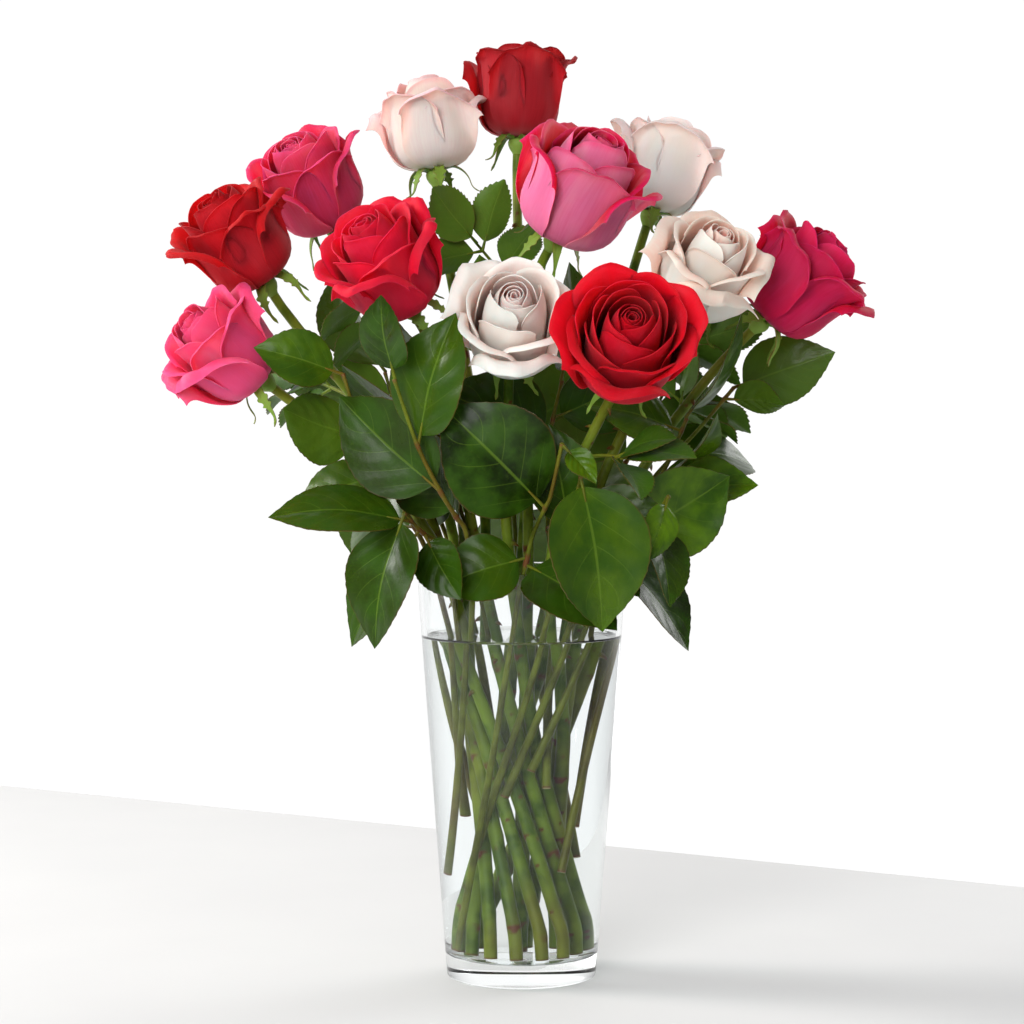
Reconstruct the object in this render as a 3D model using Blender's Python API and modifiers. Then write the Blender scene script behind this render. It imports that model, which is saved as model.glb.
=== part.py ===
"""Twelve cut roses with salal greens in a tapered glass vase of water.

The origin is the middle of the vase's underside, +Z up and -Y the front. Metres throughout.
Run it with: blender --background --python part.py
"""

import math
from collections import namedtuple

import bmesh
import bpy
import numpy as np
from mathutils import Matrix, Vector
from mathutils.bvhtree import BVHTree

# The vase: a plain tapered tumbler with a thick foot.
VASE_HEIGHT = 0.240
VASE_FOOT_RADIUS = 0.0440
VASE_MOUTH_RADIUS = 0.0617
VASE_WALL = 0.0030
VASE_FLOOR = 0.0135
VASE_STEPS = 36
WATER_DEPTH = 0.186

# The roses.
ROSE_STEM_RADIUS = 0.0036
ROSE_NECK_RADIUS = 0.0028
BLOOM_RADIUS = 0.0370
BLOOM_HEIGHT = 0.0600
HIP_RADIUS = 0.0056
HIP_HEIGHT = 0.0085
SEPAL_LENGTH = 0.0280
NECK_LENGTH = 0.0100
BASE_OF_BLOOM = 0.16  # the bloom's underside, as a share of its radius

# The greens.
TWIG_RADIUS = 0.0023
TWIG_END_RADIUS = 0.0011
SALAL_LEAF_LENGTH = 0.0800
SALAL_LEAF_WIDTH = 0.0570
ROSE_LEAFLET_LENGTH = 0.0440
ROSE_LEAFLET_WIDTH = 0.0300
LEAF_THICKNESS = 0.0008
PETIOLE_LENGTH = 0.0060
PETIOLE_WIDTH = 0.0020

# Clearances. A stem keeps ROOM to its neighbours, so that the water's walls between stems stay whole.
GAP = 0.0005
ROOM = 0.0014
STEM_PIECES = 11
TWIG_PIECES = 9
STEM_SIDES_RESOLUTION = 2
TWIG_SIDES_RESOLUTION = 1
SETTLE_ROUNDS = 600

# neck and foot are (share of the free radius, angle in degrees) at the vase's mouth and on its floor.
# bloom is the bloom's base, with z above the mouth. faces is the way that the bloom opens, size is beside
# BLOOM_RADIUS, and petals is their colour.
Rose = namedtuple("Rose", "name neck foot bloom faces size petals")
ROSES = [
    Rose("rose_01", (0.88, 200), (0.95, 318), (-0.1500, -0.030, 0.111), (-0.70, -0.42, 0.57), 0.94, "pink"),
    Rose("rose_02", (0.80, 176), (0.95, 294), (-0.1500, -0.005, 0.168), (-0.50, -0.35, 0.79), 0.97, "red"),
    Rose("rose_03", (0.80, 150), (0.90, 268), (-0.1155, 0.068, 0.206), (-0.41, -0.45, 0.79), 0.98, "pink"),
    Rose("rose_04", (0.62, 226), (0.90, 345), (-0.0640, -0.050, 0.152), (-0.42, -0.55, 0.72), 1.00, "red"),
    Rose("rose_05", (0.70, 122), (0.90, 240), (-0.0530, 0.082, 0.240), (-0.12, 0.05, 0.99), 0.93, "cream"),
    Rose("rose_06", (0.55, 92), (0.90, 208), (-0.0020, 0.105, 0.262), (0.03, 0.05, 1.00), 0.93, "red"),
    Rose("rose_07", (0.15, 300), (0.20, 100), (0.0200, -0.004, 0.194), (0.42, -0.42, 0.80), 1.10, "pink"),
    Rose("rose_08", (0.66, 55), (0.90, 178), (0.0810, 0.098, 0.216), (0.30, 0.12, 0.95), 0.97, "cream"),
    Rose("rose_09", (0.60, 258), (0.90, 20), (-0.0030, -0.056, 0.1255), (0.04, -0.86, 0.50), 0.97, "cream"),
    Rose("rose_10", (0.74, 292), (0.88, 62), (0.0520, -0.080, 0.1165), (0.05, -0.90, 0.42), 1.08, "red"),
    Rose("rose_11", (0.66, 330), (0.90, 92), (0.0960, -0.030, 0.153), (0.31, -0.64, 0.70), 0.92, "cream"),
    Rose("rose_12", (0.84, 2), (0.92, 128), (0.1420, 0.002, 0.146), (0.70, -0.15, 0.70), 1.02, "pink"),
]

# A leaf stands at a share of its twig's length above the neck and points along way. size is beside the
# usual length, and wide is beside the usual shape.
Leaf = namedtuple("Leaf", "at way size wide", defaults=(1.0,))
# neck and foot as for a rose, lift is the foot's height above the floor, and through and tip are the
# points that the twig goes through and ends at, with z above the mouth.
Spray = namedtuple("Spray", "name neck foot lift through tip leaves")
SPRAYS = [
    Spray("salal_01", (0.95, 238), (0.85, 170), 0.045, (-0.053, -0.084, 0.044), (-0.071, -0.094, 0.112), [
        Leaf(0.98, (-0.15, -0.25, 1.0), 0.52, 1.15),
        Leaf(0.48, (-0.76, -0.05, 0.62), 0.92),
        Leaf(0.70, (0.52, 0.32, 0.80), 0.88),
        Leaf(0.34, (-0.60, 0.75, 0.20), 0.80),
    ]),
    Spray("salal_02", (0.95, 220), (0.60, 150), 0.080, (-0.056, -0.064, 0.020), (-0.066, -0.086, 0.036), [
        Leaf(0.98, (-0.22, -0.10, -0.97), 0.88),
        Leaf(0.86, (-1.0, -0.12, 0.04), 0.91),
        Leaf(0.70, (-0.50, 0.15, -0.87), 0.90),
        Leaf(0.62, (0.45, -0.40, -0.75), 0.50),
    ]),
    Spray("salal_03", (0.92, 270), (0.95, 200), 0.002, (0.018, -0.094, 0.040), (0.022, -0.108, 0.076), [
        Leaf(0.56, (-0.84, -0.16, 0.52), 0.94, 1.2),
        Leaf(0.20, (-0.95, -0.35, -0.20), 0.60, 1.2),
        Leaf(0.98, (0.60, -0.35, -0.70), 0.30, 0.9),
        Leaf(0.16, (0.64, -0.35, -0.60), 0.84),
    ]),
    Spray("salal_04", (0.95, 294), (0.60, 215), 0.065, (0.028, -0.088, 0.036), (0.032, -0.112, 0.058), [
        Leaf(0.98, (0.14, 0.04, -1.0), 1.00, 1.06),
        Leaf(0.60, (0.90, -0.10, 0.20), 0.62),
        Leaf(0.40, (0.30, -0.45, -0.85), 0.70),
        Leaf(0.50, (-0.60, -0.20, 0.75), 0.70),
    ]),
    Spray("salal_05", (0.95, 318), (0.60, 250), 0.095, (0.066, -0.058, 0.016), (0.082, -0.085, 0.046), [
        Leaf(0.34, (0.62, -0.16, -0.74), 0.84),
        Leaf(0.50, (0.84, 0.14, 0.50), 0.80, 1.15),
        Leaf(0.76, (0.0, -0.20, -1.0), 0.58),
        Leaf(0.98, (-0.45, -0.25, -0.85), 0.46, 0.8),
    ]),
    Spray("salal_06", (0.95, 343), (0.60, 280), 0.110, (0.080, -0.022, 0.045), (0.096, -0.022, 0.090), [
        Leaf(0.56, (1.0, 0.05, 0.14), 0.74),
        Leaf(0.66, (0.55, -0.50, 0.66), 0.66),
        Leaf(0.98, (0.45, -0.10, 0.88), 0.78, 1.1),
        Leaf(0.92, (-0.90, -0.45, 0.05), 0.70),
    ]),
    Spray("salal_07", (0.95, 22), (0.60, 320), 0.050, (0.094, 0.026, 0.064), (0.128, 0.022, 0.108), [
        Leaf(0.98, (1.0, 0.0, 0.35), 0.72),
        Leaf(0.92, (0.8, -0.5, -0.1), 0.42),
        Leaf(0.60, (0.7, 0.7, -0.1), 0.84),
        Leaf(0.40, (0.6, 0.7, -0.5), 0.84),
    ]),
    Spray("salal_08", (0.95, 192), (0.60, 120), 0.070, (-0.088, -0.052, 0.060), (-0.102, -0.054, 0.116), [
        Leaf(0.74, (-0.85, -0.30, 0.34), 0.64, 1.15),
        Leaf(0.98, (-1.0, 0.05, 0.20), 0.58),
        Leaf(0.60, (-0.85, 0.30, -0.38), 0.68),
        Leaf(0.36, (-0.70, 0.65, 0.05), 0.84),
    ]),
    Spray("salal_09", (0.95, 138), (0.60, 75), 0.060, (-0.066, 0.056, 0.050), (-0.084, 0.070, 0.118), [
        Leaf(0.98, (-0.5, 0.5, 0.9), 0.90),
        Leaf(0.75, (-1.0, 0.4, 0.3), 0.90),
        Leaf(0.50, (-0.5, 0.6, -0.7), 1.00),
        Leaf(0.62, (0.5, 0.8, 0.5), 0.90),
    ]),
    Spray("salal_10", (0.92, 92), (0.60, 30), 0.055, (-0.004, 0.084, 0.050), (-0.012, 0.112, 0.128), [
        Leaf(0.98, (-0.2, 0.6, 0.9), 0.95),
        Leaf(0.70, (0.9, 0.5, 0.4), 1.00),
        Leaf(0.55, (-0.8, 0.5, 0.0), 1.00),
        Leaf(0.40, (0.15, 0.65, -0.75), 1.0),
    ]),
    Spray("salal_11", (0.95, 48), (0.60, 350), 0.075, (0.062, 0.062, 0.048), (0.092, 0.078, 0.112), [
        Leaf(0.98, (0.5, 0.4, 0.9), 0.90),
        Leaf(0.72, (0.9, 0.3, 0.2), 0.85),
        Leaf(0.50, (0.4, 0.7, -0.7), 1.00),
        Leaf(0.62, (-0.4, 0.9, 0.3), 0.90),
    ]),
    Spray("salal_12", (0.40, 40), (0.60, 300), 0.100, (0.010, 0.010, 0.060), (0.024, -0.012, 0.112), [
        Leaf(0.98, (0.05, -0.25, 1.0), 0.80),
        Leaf(0.80, (0.80, -0.50, 0.20), 0.80),
        Leaf(0.70, (-0.80, -0.50, 0.30), 0.95),
        Leaf(0.50, (0.30, 0.90, 0.10), 0.90),
        Leaf(0.30, (0.20, -0.95, 0.15), 0.80),
        Leaf(0.42, (0.85, -0.30, -0.30), 0.80),
    ]),
    Spray("salal_13", (0.50, 190), (0.60, 100), 0.090, (-0.036, -0.010, 0.055), (-0.052, -0.020, 0.112), [
        Leaf(0.98, (-0.45, -0.20, 0.85), 0.78),
        Leaf(0.72, (-0.85, -0.40, 0.10), 0.90),
        Leaf(0.60, (0.60, -0.60, 0.45), 0.85),
        Leaf(0.50, (-0.50, 0.85, 0.10), 0.90),
        Leaf(0.30, (-0.25, -0.95, 0.10), 0.80),
        Leaf(0.42, (-0.85, 0.20, -0.25), 0.80),
    ]),
]

# A rose leaf grows from a rose's stem, at a height above the mouth. way is where its stalk goes, and
# stalk is beside the usual length.
RoseLeaf = namedtuple("RoseLeaf", "name host height way leaflets stalk", defaults=(1.0,))
ROSE_LEAVES = [
    RoseLeaf("rose_leaf_01", "rose_06", 0.160, (-0.45, -0.55, 0.55), 5),
    RoseLeaf("rose_leaf_02", "rose_03", 0.130, (-0.25, -0.75, 0.55), 5),
    RoseLeaf("rose_leaf_03", "rose_08", 0.120, (0.75, -0.25, 0.20), 5),
    RoseLeaf("rose_leaf_04", "rose_12", 0.090, (0.10, 0.95, 0.15), 5),
    RoseLeaf("rose_leaf_05", "rose_02", 0.100, (-0.55, 0.80, 0.20), 5),
    RoseLeaf("rose_leaf_06", "rose_10", 0.066, (0.75, -0.55, 0.0), 3, 0.45),
]


def clear_scene():
    for obj in list(bpy.data.objects):
        bpy.data.objects.remove(obj)


def collection(name):
    made = bpy.data.collections.new(name)
    bpy.context.scene.collection.children.link(made)
    return made


def material(name, colour, roughness, transmission=0.0):
    made = bpy.data.materials.new(name)
    made.use_nodes = True
    shader = made.node_tree.nodes["Principled BSDF"]
    shader.inputs["Base Color"].default_value = (*colour, 1.0)
    shader.inputs["Roughness"].default_value = roughness
    shader.inputs["Metallic"].default_value = 0.0
    shader.inputs["Transmission Weight"].default_value = transmission
    return made


def mesh_object(name, points, faces, look, group):
    mesh = bpy.data.meshes.new(name)
    mesh.from_pydata([tuple(p) for p in points], [], faces)
    mesh.validate()
    mesh.materials.append(look)
    obj = bpy.data.objects.new(name, mesh)
    group.objects.link(obj)
    return obj


def tube(name, points, radii, resolution, look, group):
    """A capped tube of changing radius along points."""
    curve = bpy.data.curves.new(name, "CURVE")
    curve.dimensions = "3D"
    curve.bevel_depth = 1.0
    curve.bevel_resolution = resolution
    curve.use_fill_caps = True
    spline = curve.splines.new("POLY")
    spline.points.add(len(points) - 1)
    for knot, place, radius in zip(spline.points, points, radii):
        knot.co = (*place, 1.0)
        knot.radius = radius
    curve.materials.append(look)
    obj = bpy.data.objects.new(name, curve)
    group.objects.link(obj)
    return obj


def made_mesh(curve_object):
    """The mesh of a curve object, with its caps welded, in its place."""
    graph = bpy.context.evaluated_depsgraph_get()
    mesh = bpy.data.meshes.new_from_object(curve_object.evaluated_get(graph))
    shape = bmesh.new()
    shape.from_mesh(mesh)
    bmesh.ops.remove_doubles(shape, verts=shape.verts, dist=1e-6)
    bmesh.ops.recalc_face_normals(shape, faces=shape.faces)
    shape.to_mesh(mesh)
    shape.free()
    name = curve_object.name
    group = curve_object.users_collection[0]
    place = curve_object.matrix_world.copy()
    bpy.data.objects.remove(curve_object)
    obj = bpy.data.objects.new(name, mesh)
    obj.matrix_world = place
    group.objects.link(obj)
    return obj


def smooth(obj, degrees=40):
    obj.data.shade_smooth()
    obj.data.set_sharp_from_angle(angle=math.radians(degrees))


def turned(name, profile, steps, look, group):
    """A body turned about Z. The profile runs down its outer side."""
    points = [(radius, 0.0, height) for radius, height in profile]
    edges = [(i, i + 1) for i in range(len(points) - 1)]
    mesh = bpy.data.meshes.new(name)
    mesh.from_pydata(points, edges, [])
    mesh.materials.append(look)
    obj = bpy.data.objects.new(name, mesh)
    group.objects.link(obj)
    screw = obj.modifiers.new("turn", "SCREW")
    screw.steps = screw.render_steps = steps
    screw.use_merge_vertices = True
    screw.merge_threshold = 1e-5
    return obj


# The vase and what it holds.


def outer_radius(z):
    share = z / VASE_HEIGHT
    return VASE_FOOT_RADIUS + (VASE_MOUTH_RADIUS - VASE_FOOT_RADIUS) * share


def inner_radius(z):
    return outer_radius(z) - VASE_WALL


def build_vase(look, group):
    edge = VASE_WALL / 3
    heel = VASE_WALL
    toe = VASE_FOOT_RADIUS - heel
    top = VASE_HEIGHT
    profile = [
        (inner_radius(top) + edge, top),
        (outer_radius(top) - edge, top),
        (outer_radius(top - edge), top - edge),
        (outer_radius(heel), heel),
        (toe + heel * 0.55, heel * 0.25),
        (toe, 0.0),
        (0.0, 0.0),
    ]
    inside = [
        (0.0, VASE_FLOOR),
        (inner_radius(VASE_FLOOR) - heel, VASE_FLOOR),
        (inner_radius(VASE_FLOOR + heel), VASE_FLOOR + heel),
        (inner_radius(top - edge), top - edge),
        (inner_radius(top) + edge, top),
    ]
    vase = turned("vase", profile, VASE_STEPS, look, group)
    lining = bmesh.new()
    lining.from_mesh(vase.data)
    last = [lining.verts.new((radius, 0.0, height)) for radius, height in inside[:-1]]
    lining.verts.ensure_lookup_table()
    for a, b in zip(last, last[1:]):
        lining.edges.new((a, b))
    lining.edges.new((last[-1], lining.verts[0]))
    lining.to_mesh(vase.data)
    lining.free()
    return vase


def build_water(stems, look, group, cutters):
    low = VASE_FLOOR + GAP
    high = VASE_FLOOR + WATER_DEPTH
    heel = VASE_WALL
    profile = [
        (0.0, high),
        (inner_radius(high) - GAP, high),
        (inner_radius(low + heel) - GAP, low + heel),
        (inner_radius(low) - heel - GAP, low),
        (0.0, low),
    ]
    water = turned("water", profile, VASE_STEPS, look, group)
    for name, points, radii, resolution in stems:
        upto = max(i for i, p in enumerate(points) if p[2] < high) + 3
        below = points[0] - unit(points[1] - points[0]) * radii[0]
        line = np.concatenate([[below], points[1:upto]])
        cutter = tube("water_hole_" + name, line, [r + GAP for r in radii[:upto]], resolution, look, cutters)
        cutter = made_mesh(cutter)
        cutter.hide_render = True
        cutter.display_type = "WIRE"
    cut = water.modifiers.new("stems", "BOOLEAN")
    cut.operation = "DIFFERENCE"
    cut.solver = "EXACT"
    cut.operand_type = "COLLECTION"
    cut.collection = cutters
    return water


# Routes: where each stem runs. A route starts as a straight line in the vase and a smooth bend above it.
# The stems then push each other apart, as they do when they are put in one by one.


def polar(radius, degrees):
    turn = math.radians(degrees)
    return radius * math.cos(turn), radius * math.sin(turn)


def evenly(points, count):
    """count points spaced evenly along a line of many points."""
    points = np.asarray(points, float)
    along = np.concatenate([[0.0], np.cumsum(np.linalg.norm(np.diff(points, axis=0), axis=1))])
    at = np.linspace(0.0, along[-1], count)
    return np.stack([np.interp(at, along, points[:, k]) for k in range(3)], axis=1)


def bezier(a, b, c, d, count=24):
    t = np.linspace(0.0, 1.0, count)[:, None]
    u = 1.0 - t
    return u**3 * a + 3 * u**2 * t * b + 3 * u * t**2 * c + t**3 * d


def unit(v):
    v = np.asarray(v, float)
    return v / np.linalg.norm(v)


def foot_and_neck(plan, radius, lift):
    room = radius + ROOM
    foot_z = VASE_FLOOR + GAP + radius * 0.5 + lift
    foot = np.array([*polar(plan.foot[0] * (inner_radius(foot_z) - VASE_WALL - room), plan.foot[1]), foot_z])
    neck = np.array([*polar(plan.neck[0] * (inner_radius(VASE_HEIGHT) - room), plan.neck[1]), VASE_HEIGHT])
    return foot, neck


def rose_route(rose):
    foot, neck = foot_and_neck(rose, ROSE_STEM_RADIUS, 0.0)
    hip = np.array(rose.bloom) + [0.0, 0.0, VASE_HEIGHT] - unit(rose.faces) * (HIP_HEIGHT + GAP)
    span = np.linalg.norm(hip - neck)
    bend = bezier(neck, neck + unit(neck - foot) * span * 0.35, hip - unit(rose.faces) * span * 0.30, hip)
    straight = neck + (foot - neck) * np.linspace(1.0, 0.0, 24, endpoint=False)[:, None]
    return evenly(np.concatenate([straight, bend]), STEM_PIECES + 1)


def spray_route(spray):
    foot, neck = foot_and_neck(spray, TWIG_RADIUS, spray.lift)
    above = np.array([0.0, 0.0, VASE_HEIGHT])
    through, tip = above + spray.through, above + spray.tip
    span = np.linalg.norm(tip - neck)
    bend = bezier(neck, neck + unit(neck - foot) * span * 0.3, through + (through - tip) * 0.2, tip)
    straight = neck + (foot - neck) * np.linspace(1.0, 0.0, 24, endpoint=False)[:, None]
    return evenly(np.concatenate([straight, bend]), TWIG_PIECES + 1)


def with_straight_end(points, way):
    """The rose's stem with a short last piece that points the way the bloom faces."""
    return np.concatenate([points[:-1], [points[-1] - way * NECK_LENGTH, points[-1]]])


def nearest(p1, q1, p2, q2):
    """For each pair of line pieces p1-q1 and p2-q2, the shares along both where they come nearest."""
    d1, d2, r = q1 - p1, q2 - p2, p1 - p2
    a = (d1 * d1).sum(-1)
    e = (d2 * d2).sum(-1)
    f = (d2 * r).sum(-1)
    c = (d1 * r).sum(-1)
    b = (d1 * d2).sum(-1)
    denominator = np.maximum(a * e - b * b, 1e-15)
    s = np.clip((b * f - c * e) / denominator, 0.0, 1.0)
    t = np.clip((b * s + f) / np.maximum(e, 1e-15), 0.0, 1.0)
    s = np.clip((b * t - c) / np.maximum(a, 1e-15), 0.0, 1.0)
    return s, t


def bloom_balls(plans, tips):
    """Two balls that stand for each bloom while the stems settle: their middles and radii."""
    middles, radii, owners = [], [], []
    for i, plan in enumerate(plans):
        if not isinstance(plan, Rose):
            continue
        way = unit(plan.faces)
        base = tips[i] + way * (HIP_HEIGHT + GAP)
        for height, share in ((0.34, 0.74), (0.74, 0.93)):
            middles.append(base + way * BLOOM_HEIGHT * plan.size * height)
            radii.append(BLOOM_RADIUS * plan.size * share)
            owners.append(i)
    return np.array(middles), np.array(radii), np.array(owners)


def settle(plans, routes, radii):
    """Moves the routes apart until each stem has ROOM around it and the blooms are clear of each other."""
    starts = np.cumsum([0] + [len(r) for r in routes])
    points = np.concatenate(routes)
    size = np.concatenate(radii)
    first = np.concatenate([np.arange(a, b - 1) for a, b in zip(starts, starts[1:])])
    stem_of = np.concatenate([np.full(len(r), i) for i, r in enumerate(routes)])
    i, j = np.triu_indices(len(first), 1)
    apart = stem_of[first[i]] != stem_of[first[j]]
    i, j = first[i[apart]], first[j[apart]]
    blur = []  # a push on one point bends the whole stem, less and less with distance
    for route in routes:
        step = np.abs(np.arange(len(route))[:, None] - np.arange(len(route))[None, :])
        near = np.exp(-((step / 1.6) ** 2))
        blur.append(near / near.sum(axis=1, keepdims=True))
    for _ in range(SETTLE_ROUNDS):
        push = np.zeros_like(points)
        worst = 0.0
        s, t = nearest(points[i], points[i + 1], points[j], points[j + 1])
        s, t = s[:, None], t[:, None]
        gap = points[i] + s * (points[i + 1] - points[i]) - points[j] - t * (points[j + 1] - points[j])
        away = np.linalg.norm(gap, axis=1)
        need = np.maximum(size[i], size[i + 1]) + np.maximum(size[j], size[j + 1]) + ROOM
        short = need - away
        hit = short > 0
        if hit.any():
            worst = max(worst, short[hit].max())
            move = gap[hit] / np.maximum(away[hit], 1e-9)[:, None] * (short[hit] * 0.5)[:, None]
            for index, share, sign in ((i, 1 - s, 1), (i + 1, s, 1), (j, 1 - t, -1), (j + 1, t, -1)):
                np.add.at(push, index[hit], sign * move * share[hit])
        balls, reach, owners = bloom_balls(plans, points[starts[1:] - 1])
        for k in range(len(balls)):
            others = stem_of[first] != owners[k]
            a = points[first[others]]
            b = points[first[others] + 1]
            share = np.clip(((balls[k] - a) * (b - a)).sum(1) / ((b - a) ** 2).sum(1), 0, 1)[:, None]
            gap = a + share * (b - a) - balls[k]
            away = np.linalg.norm(gap, axis=1)
            short = reach[k] + size[first[others]] + ROOM - away
            hit = short > 0
            if hit.any():
                worst = max(worst, short.max())
                move = gap[hit] / away[hit][:, None] * short[hit][:, None] * 0.5
                np.add.at(push, first[others][hit], move)
                np.add.at(push, first[others][hit] + 1, move)
            for m in range(k):
                if owners[m] == owners[k]:
                    continue
                gap = balls[k] - balls[m]
                away = np.linalg.norm(gap)
                short = reach[k] + reach[m] + ROOM - away
                if short > 0:
                    worst = max(worst, short)
                    move = gap / away * short * 0.5
                    push[starts[owners[k] + 1] - 1] += move
                    push[starts[owners[m] + 1] - 1] -= move
        for n, (a, b) in enumerate(zip(starts, starts[1:])):
            points[a:b] += blur[n] @ push[a:b]
        inside = points[:, 2] < VASE_HEIGHT + ROOM
        across = np.linalg.norm(points[:, :2], axis=1)
        heights = np.clip(points[:, 2], 0, VASE_HEIGHT)
        corner = np.where(heights < VASE_FLOOR + 2 * VASE_WALL, VASE_WALL, 0.0)
        limit = inner_radius(heights) - corner - size - ROOM
        out = inside & (across > limit)
        points[out, :2] *= (limit[out] / across[out])[:, None]
        points[starts[:-1], 2] = [r[0, 2] for r in routes]
        if worst < 2e-5:
            break
    return [points[a:b] for a, b in zip(starts, starts[1:])]


# Blooms, hips and leaves.


# (share of the height, share of the radius, how deep the petals' lobes are, which way they point)
BLOOM_RINGS = [
    (0.00, BASE_OF_BLOOM, 0.0, 0),
    (0.09, 0.52, 0.0, 0),
    (0.32, 0.76, 0.02, 0),
    (0.62, 0.80, 0.04, 0),
    (0.86, 0.96, 0.09, 0),
    (0.80, 0.72, 0.05, 0),
    (0.97, 0.66, 0.07, 1),
    (0.88, 0.44, 0.04, 1),
    (1.00, 0.32, 0.06, 0),
    (0.93, 0.14, 0.0, 0),
]
LOBES = 5
POINTS_ON_A_LOBE = 3


def standing(place, way):
    """The matrix that puts +Z along way at place."""
    return Matrix.Translation(Vector(place)) @ Vector(way).to_track_quat("Z", "Y").to_matrix().to_4x4()


def build_bloom(name, size, place, way, look, group):
    """The petals as one body: a cup of five outer petals with two whorls inside it."""
    count = LOBES * POINTS_ON_A_LOBE
    points, faces = [], []
    for height, radius, depth, turned_by in BLOOM_RINGS:
        for k in range(count):
            angle = math.tau * k / count
            lobe = math.cos(LOBES * (angle + turned_by * math.pi / LOBES))
            r = BLOOM_RADIUS * size * radius * (1 + depth * lobe)
            z = BLOOM_HEIGHT * size * (height + 0.35 * depth * lobe * (height > 0.5))
            points.append((r * math.cos(angle), r * math.sin(angle), z))
    for ring in range(len(BLOOM_RINGS) - 1):
        for k in range(count):
            a, b = ring * count + k, ring * count + (k + 1) % count
            faces.append((a, b, b + count, a + count))
    faces.append(tuple(range(count))[::-1])
    faces.append(tuple(range((len(BLOOM_RINGS) - 1) * count, len(BLOOM_RINGS) * count)))
    bloom = mesh_object(name, points, faces, look, group)
    bloom.matrix_world = standing(place, way)
    smooth(bloom)
    return bloom


SEPALS = 5
# How each stretch of a sepal runs: (share of its length, degrees below level, share of its width at the
# end)
SEPAL_STRETCHES = [(0.42, 6, 1.10), (0.58, 62, 0.12)]
SEPAL_THICKNESS = 0.0010


def build_calyx(name, neck_radius, place, way, look, group):
    """The hip that the petals stand on, and its five sepals, bent back."""
    shape = bmesh.new()
    sides = SEPALS * 2
    rings = []
    rim = HIP_HEIGHT - SEPAL_THICKNESS * 1.5
    for radius, height in (
        (neck_radius, 0.0),
        (HIP_RADIUS, rim * 0.6),
        (HIP_RADIUS, rim),
        (HIP_RADIUS * 0.92, HIP_HEIGHT),
    ):
        ring = []
        for k in range(sides):
            angle = math.tau * (k + 0.5) / sides
            ring.append(shape.verts.new((radius * math.cos(angle), radius * math.sin(angle), height)))
        rings.append(ring)
    shape.faces.new(rings[0][::-1])
    shape.faces.new(rings[-1])
    roots = []
    for level, (lower, upper) in enumerate(zip(rings, rings[1:])):
        for k in range(sides):
            face = shape.faces.new((lower[k], lower[(k + 1) % sides], upper[(k + 1) % sides], upper[k]))
            if level == 2 and k % 2:
                roots.append(face)
    for root in roots:
        outward = Vector((*root.calc_center_median().xy, 0.0)).normalized()
        sideways = Vector((-outward.y, outward.x, 0.0))
        face = root
        width = HIP_RADIUS * 2 * math.sin(math.pi / sides)
        for share, below, narrow in SEPAL_STRETCHES:
            made = bmesh.ops.extrude_discrete_faces(shape, faces=[face])
            face = made["faces"][0]
            angle = math.radians(below)
            step = (outward * math.cos(angle) - Vector((0, 0, 1)) * math.sin(angle)) * SEPAL_LENGTH * share
            middle = face.calc_center_median() + step
            normal = (outward * math.sin(angle) + Vector((0, 0, 1)) * math.cos(angle)) * SEPAL_THICKNESS / 2
            half = sideways * width * narrow / 2
            corners = sorted(face.verts, key=lambda v: v.co.z)
            for pair, offset in ((corners[:2], -normal), (corners[2:], normal)):
                for corner in pair:
                    side = 1 if (corner.co - face.calc_center_median()).dot(sideways) > 0 else -1
                    corner.co = middle + offset + half * side
    bmesh.ops.recalc_face_normals(shape, faces=shape.faces)
    mesh = bpy.data.meshes.new(name)
    shape.to_mesh(mesh)
    shape.free()
    mesh.materials.append(look)
    calyx = bpy.data.objects.new(name, mesh)
    group.objects.link(calyx)
    calyx.matrix_world = standing(place, way)
    return calyx


# A leaf's outline: (share of the length, share of the half width, rise of the midrib as a share of the
# length)
SALAL_OUTLINE = [(0.14, 0.66, 0.035), (0.42, 1.0, 0.075), (0.72, 0.70, 0.055)]
LEAFLET_OUTLINE = [(0.26, 0.94, 0.04), (0.68, 0.86, 0.05)]
LEAF_FOLD = 0.16


def leaf_rows(outline, length, width):
    """(how far out, half the width, rise) of each row of the leaf, from its stalk's root to its tip."""
    rows = [(0.0, PETIOLE_WIDTH / 2, 0.0), (PETIOLE_LENGTH, PETIOLE_WIDTH / 2, 0.0)]
    for share, wide, rise in outline:
        rows.append((PETIOLE_LENGTH + length * share, width / 2 * wide, length * rise))
    return rows + [(PETIOLE_LENGTH + length, 0.0, 0.0)]


def leaf_mesh(name, outline, length, width, stalk=True):
    """A leaf's open surface, along +Y from its stalk's root at the origin, with its upper side up."""
    rows = leaf_rows(outline, length, width)[0 if stalk else 1:]
    shape = bmesh.new()
    bmesh.ops.create_grid(shape, x_segments=2, y_segments=len(rows) - 1, size=1.0)
    for vert in shape.verts:
        reach, half, rise = rows[round((vert.co.y + 1.0) / 2.0 * (len(rows) - 1))]
        side = round(vert.co.x)
        vert.co = (side * half, reach, rise + abs(side) * half * LEAF_FOLD)
    bmesh.ops.remove_doubles(shape, verts=shape.verts, dist=1e-6)
    mesh = bpy.data.meshes.new(name)
    shape.to_mesh(mesh)
    shape.free()
    return mesh


def thickened(obj, thickness):
    plate = obj.modifiers.new("thickness", "SOLIDIFY")
    plate.thickness = thickness
    plate.offset = 0.0
    return obj


def leaf_shape(outline, length, width, thickness, stalk=True):
    """The points and faces of a leaf's solid, in the leaf's own frame."""
    mesh = leaf_mesh("probe", outline, length, width, stalk)
    shape = bmesh.new()
    shape.from_mesh(mesh)
    bpy.data.meshes.remove(mesh)
    shape.normal_update()
    for vert in shape.verts:
        vert.co += vert.normal * thickness / 2
    bmesh.ops.solidify(shape, geom=shape.faces[:], thickness=thickness)
    shape.verts.index_update()
    points = [vert.co.copy() for vert in shape.verts]
    faces = [tuple(vert.index for vert in face.verts) for face in shape.faces]
    shape.free()
    return points, faces


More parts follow.
